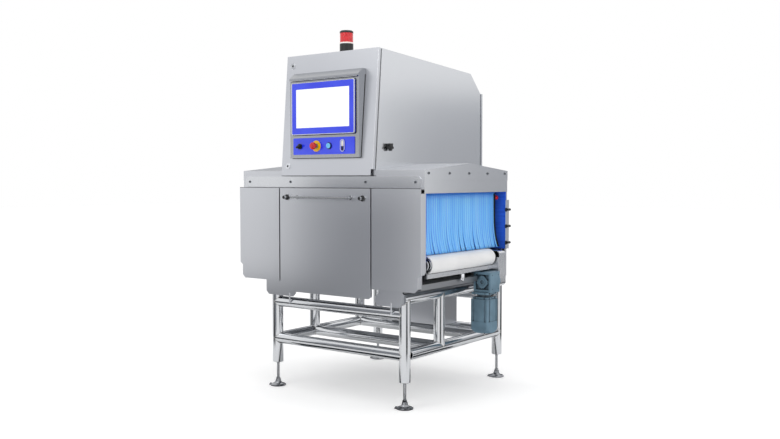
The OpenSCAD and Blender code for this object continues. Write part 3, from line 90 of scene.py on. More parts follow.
# %% Colours and nodes
def linear(hex_colour):
    """An sRGB hex colour as linear red, green, blue and alpha."""
    shares = [int(hex_colour[i:i + 2], 16) / 255 for i in (1, 3, 5)]
    return [s / 12.92 if s <= 0.04045 else ((s + 0.055) / 1.055) ** 2.4 for s in shares] + [1]


def add(tree, kind, inputs=None, **settings):
    """Adds a node to tree, with its settings and with values or links on its inputs."""
    node = tree.nodes.new(kind)
    for name, value in settings.items():
        setattr(node, name, value)
    for socket, value in (inputs or {}).items():
        if isinstance(value, bpy.types.NodeSocket):
            tree.links.new(value, node.inputs[socket])
        else:
            node.inputs[socket].default_value = value
    return node


print("a mid grey in linear light:", round(linear("#808080")[0], 3))


# %% [markdown]
# Every finish starts from the same shader, and its patterns are laid out in the piece's own
# coordinates, in metres. So a pattern's scale follows from a real size in millimetres.

# %% Start of a finish
def start_material(name, colour, roughness, more=None):
    """A material with a Principled shader: colour, roughness and any other sockets."""
    material = bpy.data.materials.new(name)
    material.use_nodes = True
    tree = material.node_tree
    tree.nodes.clear()
    surface = {"Base Color": linear(colour), "Roughness": roughness} | (more or {})
    shader = add(tree, "ShaderNodeBsdfPrincipled", surface)
    add(tree, "ShaderNodeOutputMaterial", {"Surface": shader.outputs["BSDF"]})
    place = add(tree, "ShaderNodeTexCoord").outputs["Object"]
    return material, tree, shader, place


def per_mm(size_mm):
    """Texture scale at which one feature is size_mm wide, for coordinates in metres."""
    return 1000 / size_mm


def sized(place, size_mm, detail=2):
    """Inputs for noise whose patches are size_mm wide."""
    return {"Vector": place, "Scale": per_mm(size_mm), "Detail": detail}


print("scale for patches 10 mm wide:", per_mm(10))

# %% [markdown]
# A pattern can do three things to a surface: move a plain value such as the roughness,
# colour it, or raise it. A bevel in the relief rounds edges that the CAD leaves sharp,
# without a face more.

# %% From pattern to surface
def vary(tree, shader, socket, factor, low, high):
    """Lets factor, from 0 to 1, move a plain value between low and high."""
    spread = add(tree, "ShaderNodeMapRange", {"Value": factor, "To Min": low, "To Max": high})
    tree.links.new(spread.outputs["Result"], shader.inputs[socket])


def tint(tree, shader, factor, colours, places=(0.3, 0.7)):
    """Colours the surface by factor, with one hex colour at each place."""
    ramp = add(tree, "ShaderNodeValToRGB", {"Fac": factor})
    while len(ramp.color_ramp.elements) < len(places):
        ramp.color_ramp.elements.new(0.5)
    for element, place, colour in zip(ramp.color_ramp.elements, places, colours):
        element.position = place
        element.color = linear(colour)
    tree.links.new(ramp.outputs["Color"], shader.inputs["Base Color"])
    return ramp


def relief(tree, shader, height, depth_mm, edge_mm=0):
    """Raises the surface by height, up to depth_mm, over edges rounded by edge_mm."""
    bump = add(tree, "ShaderNodeBump", {"Height": height, "Distance": depth_mm * mm})
    if edge_mm:
        edge = add(tree, "ShaderNodeBevel", {"Radius": edge_mm * mm}, samples=4)
        tree.links.new(edge.outputs["Normal"], bump.inputs["Normal"])
    tree.links.new(bump.outputs["Normal"], shader.inputs["Normal"])


finishes = {}


def keep(slot, material):
    """Files a finish under the slot that the record names."""
    finishes[slot] = material
    print("finish for", slot, "is", material.name)


# %% [markdown]
# Stainless tube, ground and then polished. The eye reads it by its bright and dark stripes,
# so the roughness is low. A picture of scratches would need a map on every tube. Noise laid
# out in real millimetres needs none and gives the soft patches that polishing leaves.

# %% Polished stainless tube
def polished_tube():
    polish_mm = 90
    grit_mm = 0.8
    material, tree, shader, place = start_material(
        "polished_stainless_tube", "#D8DADD", 0.12, {"Metallic": 1})
    patch = add(tree, "ShaderNodeTexNoise", sized(place, polish_mm, 3))
    grit = add(tree, "ShaderNodeTexNoise", sized(place, grit_mm))
    vary(tree, shader, "Roughness", patch.outputs["Fac"], 0.07, 0.17)
    relief(tree, shader, grit.outputs["Fac"], 0.004, edge_mm=1)
    return material


keep("stainless_tube", polished_tube())

# %% [markdown]
# Stainless sheet with a fine ground face. Its grinding lines run level, so the noise is
# stretched along the sheet. An anisotropic shader smears highlights in the same way, but
# needs a direction on every face. The lines are drawn about ten times as coarse as the real
# grit, because lines of 0.1 mm would never show.

# %% Ground stainless sheet
def ground_sheet(name, colour, low, high, line_mm=1.2):
    stretch = 60
    cloud_mm = 260
    material, tree, shader, place = start_material(name, colour, (low + high) / 2, {"Metallic": 1})
    drawn = add(tree, "ShaderNodeMapping", {"Vector": place, "Scale": (1 / stretch, 1 / stretch, 1)})
    line = add(tree, "ShaderNodeTexNoise", sized(drawn.outputs["Vector"], line_mm, 4))
    cloud = add(tree, "ShaderNodeTexNoise", sized(place, cloud_mm))
    blend = add(tree, "ShaderNodeMath", {0: line.outputs["Fac"], 1: cloud.outputs["Fac"], 2: 0.2},
                operation="MULTIPLY_ADD")
    vary(tree, shader, "Roughness", blend.outputs["Value"], low, high)
    relief(tree, shader, line.outputs["Fac"], 0.003, edge_mm=1.2)
    return material


keep("stainless_sheet", ground_sheet("ground_stainless_sheet", "#D1D3D8", 0.27, 0.34))
keep("stainless_bright", ground_sheet("bright_stainless_sheet", "#D8DADE", 0.2, 0.27))

# %% [markdown]
# Hard chrome and turned steel on the rollers and the locks: almost a mirror. A perfect
# mirror looks like glass, so fine noise breaks the reflection a little, as turning marks
# do.

# %% Chrome
def chrome():
    swirl_mm = 6
    material, tree, shader, place = start_material("polished_chrome", "#DFE1E4", 0.08, {"Metallic": 1})
    swirl = add(tree, "ShaderNodeTexNoise", sized(place, swirl_mm, 4))
    vary(tree, shader, "Roughness", swirl.outputs["Fac"], 0.05, 0.16)
    relief(tree, shader, swirl.outputs["Fac"], 0.01, edge_mm=0.6)
    return material


keep("chrome", chrome())

# %% [markdown]
# Two-part machine enamel, sprayed on a cast housing. The casting shows through as a soft orange peel about
# 2 mm wide, and dust dulls it in patches. The ambient occlusion node finds the corners between the ribs,
# where little light gets in, and paints shade into them.

# %% Sprayed enamel
def sprayed_enamel(name, colour, shade, gloss):
    peel_mm = 2.2
    dust_mm = 70
    corner_mm = 22
    # Painted shade: the colour is darkened wherever the ambient occlusion node finds a corner.
    corner_shade_stops = ((0.35, "#4A545C"), (0.8, "#FFFFFF"))
    material, tree, shader, place = start_material(
        name, colour, gloss, {"Coat Weight": 0.15, "Coat Roughness": 0.2})
    dust = add(tree, "ShaderNodeTexNoise", sized(place, dust_mm, 5))
    peel = add(tree, "ShaderNodeTexNoise", sized(place, peel_mm, 1))
    clean = tint(tree, shader, dust.outputs["Fac"], (shade, colour))
    open_to_light = add(tree, "ShaderNodeAmbientOcclusion", {"Distance": corner_mm * mm}, samples=8)
    corner_shade = add(tree, "ShaderNodeValToRGB", {"Fac": open_to_light.outputs["AO"]})
    for element, (share, grey) in zip(corner_shade.color_ramp.elements, corner_shade_stops):
        element.position = share
        element.color = linear(grey)
    mixed = add(tree, "ShaderNodeMixRGB", {"Fac": 1.0, "Color1": clean.outputs["Color"],
                                           "Color2": corner_shade.outputs["Color"]}, blend_type="MULTIPLY")
    tree.links.new(mixed.outputs["Color"], shader.inputs["Base Color"])
    vary(tree, shader, "Roughness", dust.outputs["Fac"], gloss + 0.12, gloss - 0.06)
    relief(tree, shader, peel.outputs["Fac"], 0.06, edge_mm=1.5)
    return material


keep("dark_sheet", sprayed_enamel("dark_sheet_enamel", "#3C4046", "#303338", 0.4))
keep("motor_paint", sprayed_enamel("blue_grey_enamel", "#6C8B9E", "#5A7687", 0.36))
keep("tank_grey", sprayed_enamel("grey_tank_enamel", "#8B9095", "#7C8186", 0.4))

# %% [markdown]
# Polycarbonate film on the panel's front, printed blue from behind. A sheet of glass over a
# blue plate would show that too, but a clear coat on one surface gives the same sharp
# reflection for less.

# %% Printed blue film
def printed_film():
    ripple_mm = 130
    material, tree, shader, place = start_material(
        "printed_polycarbonate_film", "#1B36E4", 0.22,
        {"Coat Weight": 0.6, "Coat Roughness": 0.04, "Coat IOR": 1.58})
    ripple = add(tree, "ShaderNodeTexNoise", sized(place, ripple_mm, 1))
    tint(tree, shader, ripple.outputs["Fac"], ("#1530E0", "#2A45EA"))
    relief(tree, shader, ripple.outputs["Fac"], 0.4, edge_mm=0.6)
    return material


keep("panel_blue", printed_film())

# %% [markdown]
# Polyethylene sheet lines the tunnel. Skived from a block, it has a waxy face with faint
# cutting waves. Noise stretched along the cut draws the waves, and a little light under the
# surface gives the wax.

# %% Blue liner sheet
def liner_sheet():
    wave_mm = 12
    material, tree, shader, place = start_material(
        "skived_polyethylene", "#2F66E0", 0.35, {"Subsurface Weight": 0.05})
    drawn = add(tree, "ShaderNodeMapping", {"Vector": place, "Scale": (0.1, 1, 1)})
    wave = add(tree, "ShaderNodeTexNoise", sized(drawn.outputs["Vector"], wave_mm, 3))
    tint(tree, shader, wave.outputs["Fac"], ("#285CD4", "#356CE6"), (0.35, 0.65))
    relief(tree, shader, wave.outputs["Fac"], 0.08)
    return material


keep("liner_blue", liner_sheet())

# %% [markdown]
# The belt is a white, matt polyurethane coat on polyester fabric, and the fabric's weave
# prints through it. Modelled threads would be millions of faces; two crossed waves in the
# bump show the same relief. The real threads are 0.6 mm apart, and they are drawn 9.4 mm
# apart, because finer ones would never show in the render.

# %% White belt
def belt_skin():
    thread_mm = 9.425
    mark_mm = 160
    # At a scale of 1, a wave texture's bands are 2 pi / 20 apart.
    thread_scale = per_mm(thread_mm) * 2 * math.pi / 20
    material, tree, shader, place = start_material(
        "polyurethane_belt", "#ECECEC", 0.5, {"Specular IOR Level": 0.4})
    mark = add(tree, "ShaderNodeTexNoise", sized(place, mark_mm, 4))
    tint(tree, shader, mark.outputs["Fac"], ("#E6E6E7", "#F0F0F0"))
    heights = []
    for way in ("X", "Y"):
        heights.append(add(tree, "ShaderNodeTexWave", {"Vector": place, "Scale": thread_scale},
                           bands_direction=way).outputs["Fac"])
    weave = add(tree, "ShaderNodeMath", {0: heights[0], 1: heights[1]}, operation="ADD")
    vary(tree, shader, "Roughness", mark.outputs["Fac"], 0.42, 0.58)
    relief(tree, shader, weave.outputs["Value"], 0.03, edge_mm=0.8)
    return material


keep("belt_white", belt_skin())

# %% [markdown]
# The curtain's strips are calendered polyurethane, soft and a little see-through. Real transmission would
# be slow and grainy, so light under the surface and a faint painted glow stand for it. A value stored on
# each point paints the blue deep at a strip's two edges, partly for the overlap of the strips and partly as
# painted shade, and under the hem as painted shade.

# %% Curtain skin
def curtain_skin():
    flow_mm = 45
    # The emission is a faint painted glow for the light that passes through the strips.
    material, tree, shader, place = start_material("calendered_polyurethane", "#6FB5F2", 0.38, {
        "Subsurface Weight": 0.25, "Subsurface Radius": (0.3, 0.6, 1), "Subsurface Scale": 4 * mm,
        "Sheen Weight": 0.1, "Emission Color": linear("#2FA4FF"), "Emission Strength": 0.1})
    drawn = add(tree, "ShaderNodeMapping", {"Vector": place, "Scale": (1, 1, 0.08)})
    flow = add(tree, "ShaderNodeTexNoise", sized(drawn.outputs["Vector"], flow_mm, 4))
    light = tint(tree, shader, flow.outputs["Fac"], ("#66B2F6", "#78C0FB", "#8CCDFF"), (0.3, 0.5, 0.72))
    # Painted shade and overlap: the stored value mixes a deep blue into the colour.
    overlap_and_shade = add(tree, "ShaderNodeAttribute", attribute_name="overlap_and_shade")
    mixed = add(tree, "ShaderNodeMixRGB", {"Fac": overlap_and_shade.outputs["Fac"], "Color1": light.outputs["Color"],
                                           "Color2": linear("#2268E0")})
    tree.links.new(mixed.outputs["Color"], shader.inputs["Base Color"])
    vary(tree, shader, "Roughness", flow.outputs["Fac"], 0.32, 0.46)
    relief(tree, shader, flow.outputs["Fac"], 0.2)
    return material


keep("curtain_blue", curtain_skin())

# %% [markdown]
# Glass-filled nylon for knobs and pins: black and dull, with the fine grain that a
# spark-eroded mould leaves. Noise looks cloudy at this size; a cell pattern has the small
# round pits. Extruded rubber is the same surface, a little rougher.

# %% Moulded black nylon
def moulded_nylon(name="moulded_black_nylon", colour="#141517", low=0.34, high=0.5):
    grain_mm = 0.9
    material, tree, shader, place = start_material(name, colour, (low + high) / 2)
    grain = add(tree, "ShaderNodeTexVoronoi", {"Vector": place, "Scale": per_mm(grain_mm)})
    patch = add(tree, "ShaderNodeTexNoise", sized(place, 25 * grain_mm))
    vary(tree, shader, "Roughness", patch.outputs["Fac"], low, high)
    relief(tree, shader, grain.outputs["Distance"], 0.04, edge_mm=1)
    return material


keep("black_plastic", moulded_nylon())
keep("black_rubber", moulded_nylon("extruded_black_rubber", "#101112", 0.5, 0.66))

# %% [markdown]
# The push buttons are moulded from coloured plastic with a shiny face. Slight sink marks bend the
# reflection, which is all that tells it from paint. The beacon's lens is the same plastic with a very faint
# painted glow, which stands for the light that it passes on.

# %% Glossy moulded plastic
def glossy_plastic(name, colour, shade, glow=0.0):
    sink_mm = 14
    material, tree, shader, place = start_material(name, colour, 0.22, {
        "Coat Weight": 0.4, "Coat Roughness": 0.08, "Subsurface Weight": 0.08, "Subsurface Scale": 2 * mm,
        "Emission Color": linear(colour), "Emission Strength": glow})
    sink = add(tree, "ShaderNodeTexNoise", sized(place, sink_mm))
    tint(tree, shader, sink.outputs["Fac"], (shade, colour))
    vary(tree, shader, "Roughness", sink.outputs["Fac"], 0.16, 0.3)
    relief(tree, shader, sink.outputs["Fac"], 0.1, edge_mm=0.5)
    return material


keep("stop_red", glossy_plastic("red_button_plastic", "#CE1512", "#B80F10"))
keep("stop_yellow", glossy_plastic("yellow_collar_plastic", "#F2BE00", "#E8B200"))
keep("reset_blue", glossy_plastic("light_blue_button_plastic", "#6EC1EE", "#5DB2E6"))
keep("lens_red", glossy_plastic("red_lens_plastic", "#E01E28", "#C4141E", glow=0.08))

# %% [markdown]
# Each part now takes the finish that its slot in the record asks for. Only parts that share
# a slot but were made in another way are listed here.

# %% Give every part its finish
slot_of = {entry["node"]: entry["material_slot"] for entry in frame["record"]["subparts"]}
foot_steel = ground_sheet("plated_foot_steel", "#9A9CA0", 0.14, 0.24)
own_finishes = {
    "base_tray": ground_sheet("grey_stainless_sheet", "#A2A4A8", 0.32, 0.42),
    # The bolts are a darker steel: painted shade for their dark sockets and dark reflections.
    "panel_bolts": ground_sheet("bolt_steel_with_painted_shade", "#6A6D72", 0.16, 0.24),
    # The housing is a darker copy of the polished sheet: painted shade.
    "hmi_housing": ground_sheet("polished_housing_sheet", "#ABADB1", 0.13, 0.2),
    # The handle is a darker copy of polished steel: painted shade in its reflections.
    "door_handle": ground_sheet("polished_handle_steel", "#A0A2A5", 0.08, 0.16),
}


def wear(piece, material):
    """Puts one material on all of a piece."""
    piece.data.materials.clear()
    piece.data.materials.append(material)


for name, part in nodes.items():
    shared = foot_steel if name.startswith("foot_") else finishes[slot_of[name]]
    wear(part, own_finishes.get(name, shared))
print("parts with a finish of their own:", ", ".join(own_finishes))

# %% [markdown]
# The door's knobs are black stars with a turned steel barrel in front and a dark tip. The
# CAD knob already has that shape, so only the material changes, by the depth behind its
# front.

# %% Knobs with steel barrels
def barrelled_nylon(front_y, tip=3 * mm, barrel=20 * mm):
    turning_mm = 1.5
    material, tree, shader, place = start_material("nylon_and_turned_steel", "#141517", 0.4)
    depth = add(tree, "ShaderNodeSeparateXYZ", {"Vector": place}).outputs["Y"]
    past_tip = add(tree, "ShaderNodeMath", {0: depth, 1: front_y + tip}, operation="GREATER_THAN")
    in_barrel = add(tree, "ShaderNodeMath", {0: depth, 1: front_y + barrel}, operation="LESS_THAN")
    steel = add(tree, "ShaderNodeMath", {0: past_tip.outputs[0], 1: in_barrel.outputs[0]},
                operation="MULTIPLY").outputs[0]
    tint(tree, shader, steel, ("#141517", "#B8BABD"), (0.4, 0.6))
    tree.links.new(steel, shader.inputs["Metallic"])
    vary(tree, shader, "Roughness", steel, 0.42, 0.16)
    turning = add(tree, "ShaderNodeTexNoise", sized(place, turning_mm))
    relief(tree, shader, turning.outputs["Fac"], 0.02, edge_mm=0.8)
    return material


knob_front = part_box("door_knob_left")[0][1]
knob_steel = barrelled_nylon(knob_front)
wear(nodes["door_knob_left"], knob_steel)
wear(nodes["door_knob_right"], knob_steel)
print("knob front in mm:", round(knob_front / mm, 1))

# %% [markdown]
# ## Pieces that the frame leaves out
# Every piece made here moves with one body of the machine and wears the finish of one of the record's
# slots, or one of its own. One function does this for all of them, so that none is forgotten.

# %% Fit a piece to its body
def fit(piece, body, slot, material=None):
    """Puts a piece on its body, with its slot's finish or one of its own."""
    wear(piece, material or finishes[slot])
    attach(piece, body)
    print(piece.name, "rides on", body)
    return piece


# %% [markdown]
# The motor's cable leaves the top of the terminal box, turns back between the posts and
# ends in the lower equipment box. Points could be dragged by hand, but arcs worked out from
# one radius keep every bend as wide as the cable allows. The long run sags a little.

# %% Cable route
cable_r = 3.5 * mm
cable_bend = 27 * mm
cable_sag = 5 * mm
run_steps = 6
gland_top = Vector((0.606, 0.1713, 0.50265))
box_entry_x = 0.168
box_front_y = 0.254925


def arc(centre, start, end, steps=6):
    """Points on a quarter circle from centre + start to centre + end."""
    turns = [math.pi / 2 * k / steps for k in range(steps + 1)]
    return [centre + start * math.cos(t) + end * math.sin(t) for t in turns]


to_x, to_y, to_z = (Vector(axis) * cable_bend for axis in ((1, 0, 0), (0, 1, 0), (0, 0, 1)))
run_start = gland_top + to_z + 2 * to_y - to_x
run_end = Vector((box_entry_x, run_start.y, run_start.z)) + to_x
cable_points = arc(gland_top + to_y, -to_y, to_z)
cable_points += arc(gland_top + to_z + to_y - to_x, to_x, to_y)[1:]
for k in range(1, run_steps):
    share = k / run_steps
    sag = Vector((0, 0, -4 * cable_sag * share * (1 - share)))
    cable_points.append(run_start.lerp(run_end, share) + sag)
cable_points += arc(run_end + to_y, -to_y, -to_x)
cable_points.append(Vector((box_entry_x, box_front_y, run_end.z)))
print("cable points:", len(cable_points))

# %% [markdown]
# A cable could be a mesh tube, but Blender sweeps a round section along a curve by itself,
# and the curve stays the line whose length is measured. Each point has its own radius, so
# the strain relief moulded at the gland is the same kind of curve with a taper.

# %% Cable and strain relief
def add_line(curve, points, radius, closed):
    """Adds one line to a curve. The bevel is 1 m deep, so a point's radius is in metres."""
    spline = curve.splines.new("POLY")
    spline.points.add(len(points) - 1)
    for point, place in zip(spline.points, points):
        point.co = (*place, 1)
        point.radius = radius
    spline.use_cyclic_u = closed


def round_curve(name, points, radius, closed=False, sides=4):
    """A curve through points with a round section."""
    curve = bpy.data.curves.new(name, "CURVE")
    curve.dimensions = "3D"
    curve.bevel_depth = 1
    curve.bevel_resolution = sides
    add_line(curve, points, radius, closed)
    piece = bpy.data.objects.new(name, curve)
    bpy.context.collection.objects.link(piece)
    return piece


cable = fit(round_curve("cable_sheath", cable_points, cable_r, sides=6), "machine", "black_rubber")
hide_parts("motor_cable")

grip_point_count = 6
grip_swell = 1.85
grip_taper = 0.14
grip = round_curve("cable_strain_relief", cable_points[:grip_point_count], cable_r, sides=6)
for number, point in enumerate(grip.data.splines[0].points):
    point.radius = cable_r * (grip_swell - grip_taper * number)
grip.data.use_fill_caps = True
fit(grip, "machine", "black_rubber")

cable_length = sum((b - a).length for a, b in zip(cable_points, cable_points[1:]))
print("cable length in m:", round(cable_length, 3))

# %% [markdown]
# Where two tubes meet, a welder leaves a bead along the line in which one round cuts the
# other. A boolean cut would find that line too, but for two tubes of one size it has a
# simple formula, so each bead is a closed curve with a round section.

# %% Lines of the weld beads
tube_r = 30.15 * mm
bead_steps = 48
inner_post_in = (317 * mm, 190 * mm)
posts_low, posts_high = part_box("stand_posts")
long_low, long_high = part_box("long_rails")
leg_x = (posts_low[0] + tube_r, posts_high[0] - tube_r)
leg_y = (posts_low[1] + tube_r, posts_high[1] - tube_r)
inner_y = (leg_y[0] + inner_post_in[0], leg_y[1] - inner_post_in[1])
lower_z, upper_z = long_low[2] + tube_r, long_high[2] - tube_r
top_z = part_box("end_rails")[1][2] - tube_r


def bead(joint, way, across):
    """The line where a tube that runs along way meets a tube that runs along across."""
    joint, way, across = Vector(joint), Vector(way), Vector(across)
    side = way.cross(across)
    points = []
    for k in range(bead_steps):
        turn = 2 * math.pi * k / bead_steps
        ring = across * math.cos(turn) + side * math.sin(turn)
        points.append(joint + ring * tube_r + way * tube_r * abs(math.cos(turn)))
    return points


beads = []
for x, inward in zip(leg_x, (1, -1)):
    for y in leg_y + inner_y:
        beads.append(bead((x, y, top_z), (0, 0, -1), (0, 1, 0)))
    for y in inner_y:
        beads.append(bead((x, y, lower_z), (0, 0, 1), (0, 1, 0)))
        beads.append(bead((x, y, lower_z), (inward, 0, 0), (0, 1, 0)))
    for y, to_middle in zip(leg_y, (1, -1)):
        beads.append(bead((x, y, lower_z), (0, to_middle, 0), (0, 0, 1)))
        for z in (lower_z, upper_z):
            beads.append(bead((x, y, z), (inward, 0, 0), (0, 0, 1)))
print("weld beads:", len(beads))

# %% [markdown]
# A cleaned weld is a little duller and warmer than the tube. Noise as wide as its real
# ripples, in the bump, stands for them.

# %% Weld beads on the stand
bead_r = 1.6 * mm


def weld_steel():
    ripple_mm = 1.6
    material, tree, shader, place = start_material("welded_stainless", "#B4B2AE", 0.34, {"Metallic": 1})
    ripple = add(tree, "ShaderNodeTexNoise", sized(place, ripple_mm))
    tint(tree, shader, ripple.outputs["Fac"], ("#A6A29C", "#BFBEBC"))
    relief(tree, shader, ripple.outputs["Fac"], 0.3)
    return material


welds = round_curve("weld_beads", beads[0], bead_r, closed=True, sides=2)
for line in beads[1:]:
    add_line(welds.data, line, bead_r, True)
fit(welds, "machine", "stainless_tube", weld_steel())

# %% [markdown]
# A shape that no curve gives is a mesh: a list of points, and a list of faces that name
# them by number. Primitives and modifiers could build it too, but a list keeps every
# measure in sight. Blender can turn the faces of a closed piece outwards afterwards.

# %% Mesh helpers
def mesh_piece(name, points, faces, smooth=False):
    """A mesh object from plain points and faces."""
    mesh = bpy.data.meshes.new(name)
    mesh.from_pydata([tuple(p) for p in points], [], faces)
    mesh.validate()
    mesh.polygons.foreach_set("use_smooth", [smooth] * len(mesh.polygons))
    piece = bpy.data.objects.new(name, mesh)
    bpy.context.collection.objects.link(piece)
    return piece


def closed_piece(name, points, faces, smooth=False):
    """A mesh object with all its faces turned outwards."""
    piece = mesh_piece(name, points, faces, smooth)
    work = bmesh.new()
    work.from_mesh(piece.data)
    bmesh.ops.recalc_face_normals(work, faces=work.faces)
    work.to_mesh(piece.data)
    work.free()
    return piece


def turned_ring(name, x, z, section, steps=48, smooth=False):
    """A closed section of (radius, y), turned round the line along Y at x and z."""
    points, faces = [], []
    for radius, y in section:
        for k in range(steps):
            turn = 2 * math.pi * k / steps
            points.append((x + radius * math.cos(turn), y, z + radius * math.sin(turn)))
    for loop in range(len(section)):
        here, after = loop * steps, (loop + 1) % len(section) * steps
        for k in range(steps):
            on = (k + 1) % steps
            faces.append((here + k, here + on, after + on, after + k))
    return closed_piece(name, points, faces, smooth)


# %% [markdown]
# The curtains keep stray radiation and draughts in. Each is a row of soft strips: straight
# under the hem, bowed a little, and swept sideways near the belt. A cloth simulation is
# hard to steer, so each strip draws its own bow, lean and sweep from a fixed seed. It is
# built from grids of points, 6 steps across and 16 down.

# %% Grid of a curtain strip
across_steps = 6
down_steps = 16
rows, columns = down_steps + 1, across_steps + 1


def ease(down, start, power):
    """Nothing down to start, and then rising to 1 at the strip's foot."""
    return max(0.0, (down - start) / (1 - start)) ** power


def add_grid(points, faces, place):
    """Adds a grid of points, place(row, column), and its faces. Returns its first number."""
    first = len(points)
    points += [place(row, column) for row in range(rows) for column in range(columns)]
    for row in range(down_steps):
        for column in range(across_steps):
            corner = first + row * columns + column
            faces.append((corner, corner + 1, corner + columns + 1, corner + columns))
    return first


print("points in a strip:", 2 * rows * columns)

# %% [markdown]
# A strip is two grids, front and back, joined round their rim. One sheet of faces would bend as well, but a
# real thickness gives the strips real edges; the deep blue along them is painted in the finish, partly as
# shade. A strip is stiff at its head, bows and leans more as it hangs, and is kicked out near the belt.

# %% One curtain strip
strip_t = 1.2 * mm
hem_r = 6 * mm
stiff_head = 27.6 * mm
head_bow = 0.25
kick_from = 0.35
sweep_from = 0.62


def add_strip(points, faces, own, y, room, rod, foot_z, outward):
    """Adds a strip between two y places, with its own values in mm. It may drift by room."""
    head_z = rod[1] - hem_r
    end_z = foot_z + own["end"] * mm

    def place(row, column, side):
        across, down = column / across_steps, row / down_steps
        z = head_z + (end_z - head_z) * down
        hang = max(0.0, (rod[1] - stiff_head - z) / (rod[1] - foot_z))
        out = own["bow"] * math.sin(math.pi * across) * (head_bow + (1 - head_bow) * hang)
        out += own["lean"] * hang + own["turn"] * (across - 0.5) * hang
        out += own["kick"] * ease(down, kick_from, 3)
        drift = min(own["sweep"] * mm, room) * ease(down, sweep_from, 2)
        x = rod[0] + outward * (out * mm + side * strip_t / 2)
        return (x, y[0] + (y[1] - y[0]) * across + drift, z)

    front = add_grid(points, faces, lambda row, column: place(row, column, 1))
    back = add_grid(points, faces, lambda row, column: place(row, column, -1))
    rim = list(range(columns)) + [row * columns + across_steps for row in range(1, rows)]
    rim += [down_steps * columns + column for column in range(across_steps - 1, -1, -1)]
    rim += [row * columns for row in range(down_steps - 1, 0, -1)]
    for a, b in zip(rim, rim[1:] + rim[:1]):
        faces.append((front + b, front + a, back + a, back + b))


# %% [markdown]
# The exit curtain ends in a black rubber band that closes it against the frame. The finish reads a value on
# each point that paints the blue deep: at a strip's two edges, partly for the overlap of the strips and
# partly as painted shade, and under the hem, as painted shade from the hood.

# %% Edge band and creases
band_w = 8 * mm
band_in = 10 * mm
band_out = 5 * mm
band_drop = 14 * mm
band_gap = 1 * mm
band_sweep = 3 * mm
band_kick = 26 * mm
head_share = 1 / 8


def edge_band(name, low, high, rod):
    """A square band down the last strip, which follows the strip out at its foot."""
    head_z = rod[1] - hem_r - band_drop
    points, faces = [], []
    for k in range(down_steps + 1):
        down = k / down_steps
        x = rod[0] + band_out + band_kick * ease(down, kick_from, 3)
        y = high[1] - band_in + band_sweep * down ** 2
        z = head_z + (low[2] + band_gap - head_z) * down
        for dx, dy in ((-0.5, 0), (0.5, 0), (0.5, 1), (-0.5, 1)):
            points.append((x + dx * band_w, y + dy * band_w, z))
    for a in range(0, 4 * down_steps, 4):
        faces += [(a + i, a + (i + 1) % 4, a + 4 + (i + 1) % 4, a + 4 + i) for i in range(4)]
    faces += [(3, 2, 1, 0), tuple(4 * down_steps + i for i in range(4))]
    return closed_piece(name, points, faces)


def side_overlap_and_shade(depth):
    """How deep the blue is painted on each point of one side of a strip: overlap and painted shade at the
    edges, painted shade under the head.
    """
    return [max(abs(2 * column / across_steps - 1) ** 3 * depth, 1 - row / down_steps / head_share)
            for row in range(rows) for column in range(columns)]


def set_overlap_and_shade(piece, values):
    """Stores the painted deep blue, for overlap and shade, on each of a piece's points."""
    piece.data.attributes.new("overlap_and_shade", "FLOAT", "POINT").data.foreach_set("value", values)


print("side creases run from", min(side_overlap_and_shade(1)), "to", max(side_overlap_and_shade(1)))

# %% [markdown]
# The strips hang from a hem round the rod. The ranges are in millimetres, apart from the depth of the
# painted deep blue at the edges. Each strip draws from them in this order.

# %% Curtains
strip_count = 38
strip_slit = 0.5 * mm
overhang = 1.5 * mm
# The hem is painted deep blue all over: painted shade under the hood.
hem_painted_shade = 0.9
seed = 7
strip_ranges = {
    "bow": (1.2, 3.0), "overlap_and_shade": (0.25, 1), "lean": (0.2, 1.2), "sweep": (0.5, 6.5),
    "turn": (-1.6, 1.6), "end": (-2.5, -1), "kick": (17, 26),
}


def strip_curtain(name, body, outward):
    low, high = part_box(body)
    rod = ((low[0] if outward > 0 else high[0]) + outward * hem_r, high[2] - hem_r)
    pitch = (high[1] - low[1]) / strip_count
    draw = random.Random(seed)
    points, faces, overlap_and_shade_values = [], [], []
    for number in range(strip_count):
        own = {key: draw.uniform(*span) for key, span in strip_ranges.items()}
        y0 = low[1] + number * pitch + strip_slit / 2
        y1 = y0 + pitch - strip_slit
        add_strip(points, faces, own, (y0, y1), high[1] + overhang - y1, rod, low[2], outward)
        overlap_and_shade_values += side_overlap_and_shade(own["overlap_and_shade"]) * 2
    curtain = closed_piece(name, points, faces, smooth=True)
    set_overlap_and_shade(curtain, overlap_and_shade_values)
    fit(curtain, body, "curtain_blue")
    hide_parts(body)

    inner_r = hem_r - strip_t
    section = ((inner_r, low[1]), (hem_r, low[1]), (hem_r, high[1]), (inner_r, high[1]))
    hem = turned_ring(name + "_hem", *rod, section, steps=24, smooth=True)
    set_overlap_and_shade(hem, [hem_painted_shade] * len(hem.data.vertices))
    fit(hem, body, "curtain_blue")
    if outward > 0:
        fit(edge_band(name + "_edge", low, high, rod), body, "black_rubber")


strip_curtain("exit_strips", "exit_curtain", 1)
strip_curtain("infeed_strips", "infeed_curtain", -1)

# %% [markdown]
# A turned shape is an outline of radius and height, carried round an upright line. A screw
# modifier does the same; here the caps at both ends come with it.

# %% Lathe
def lathe(name, centre, outline, steps):
    """Turns an outline of (radius, height) round the upright line through centre."""
    points, faces = [], []
    for radius, height in outline:
        for k in range(steps):
            turn = 2 * math.pi * k / steps
            points.append((centre[0] + radius * math.cos(turn), centre[1] + radius * math.sin(turn),
                           centre[2] + height))
    for ring in range(len(outline) - 1):
        for k in range(steps):
            a, b = ring * steps + k, ring * steps + (k + 1) % steps
            faces.append((a, b, b + steps, a + steps))
    faces.append(tuple(reversed(range(steps))))
    faces.append(tuple((len(outline) - 1) * steps + k for k in range(steps)))
    return mesh_piece(name, points, faces, smooth=True)


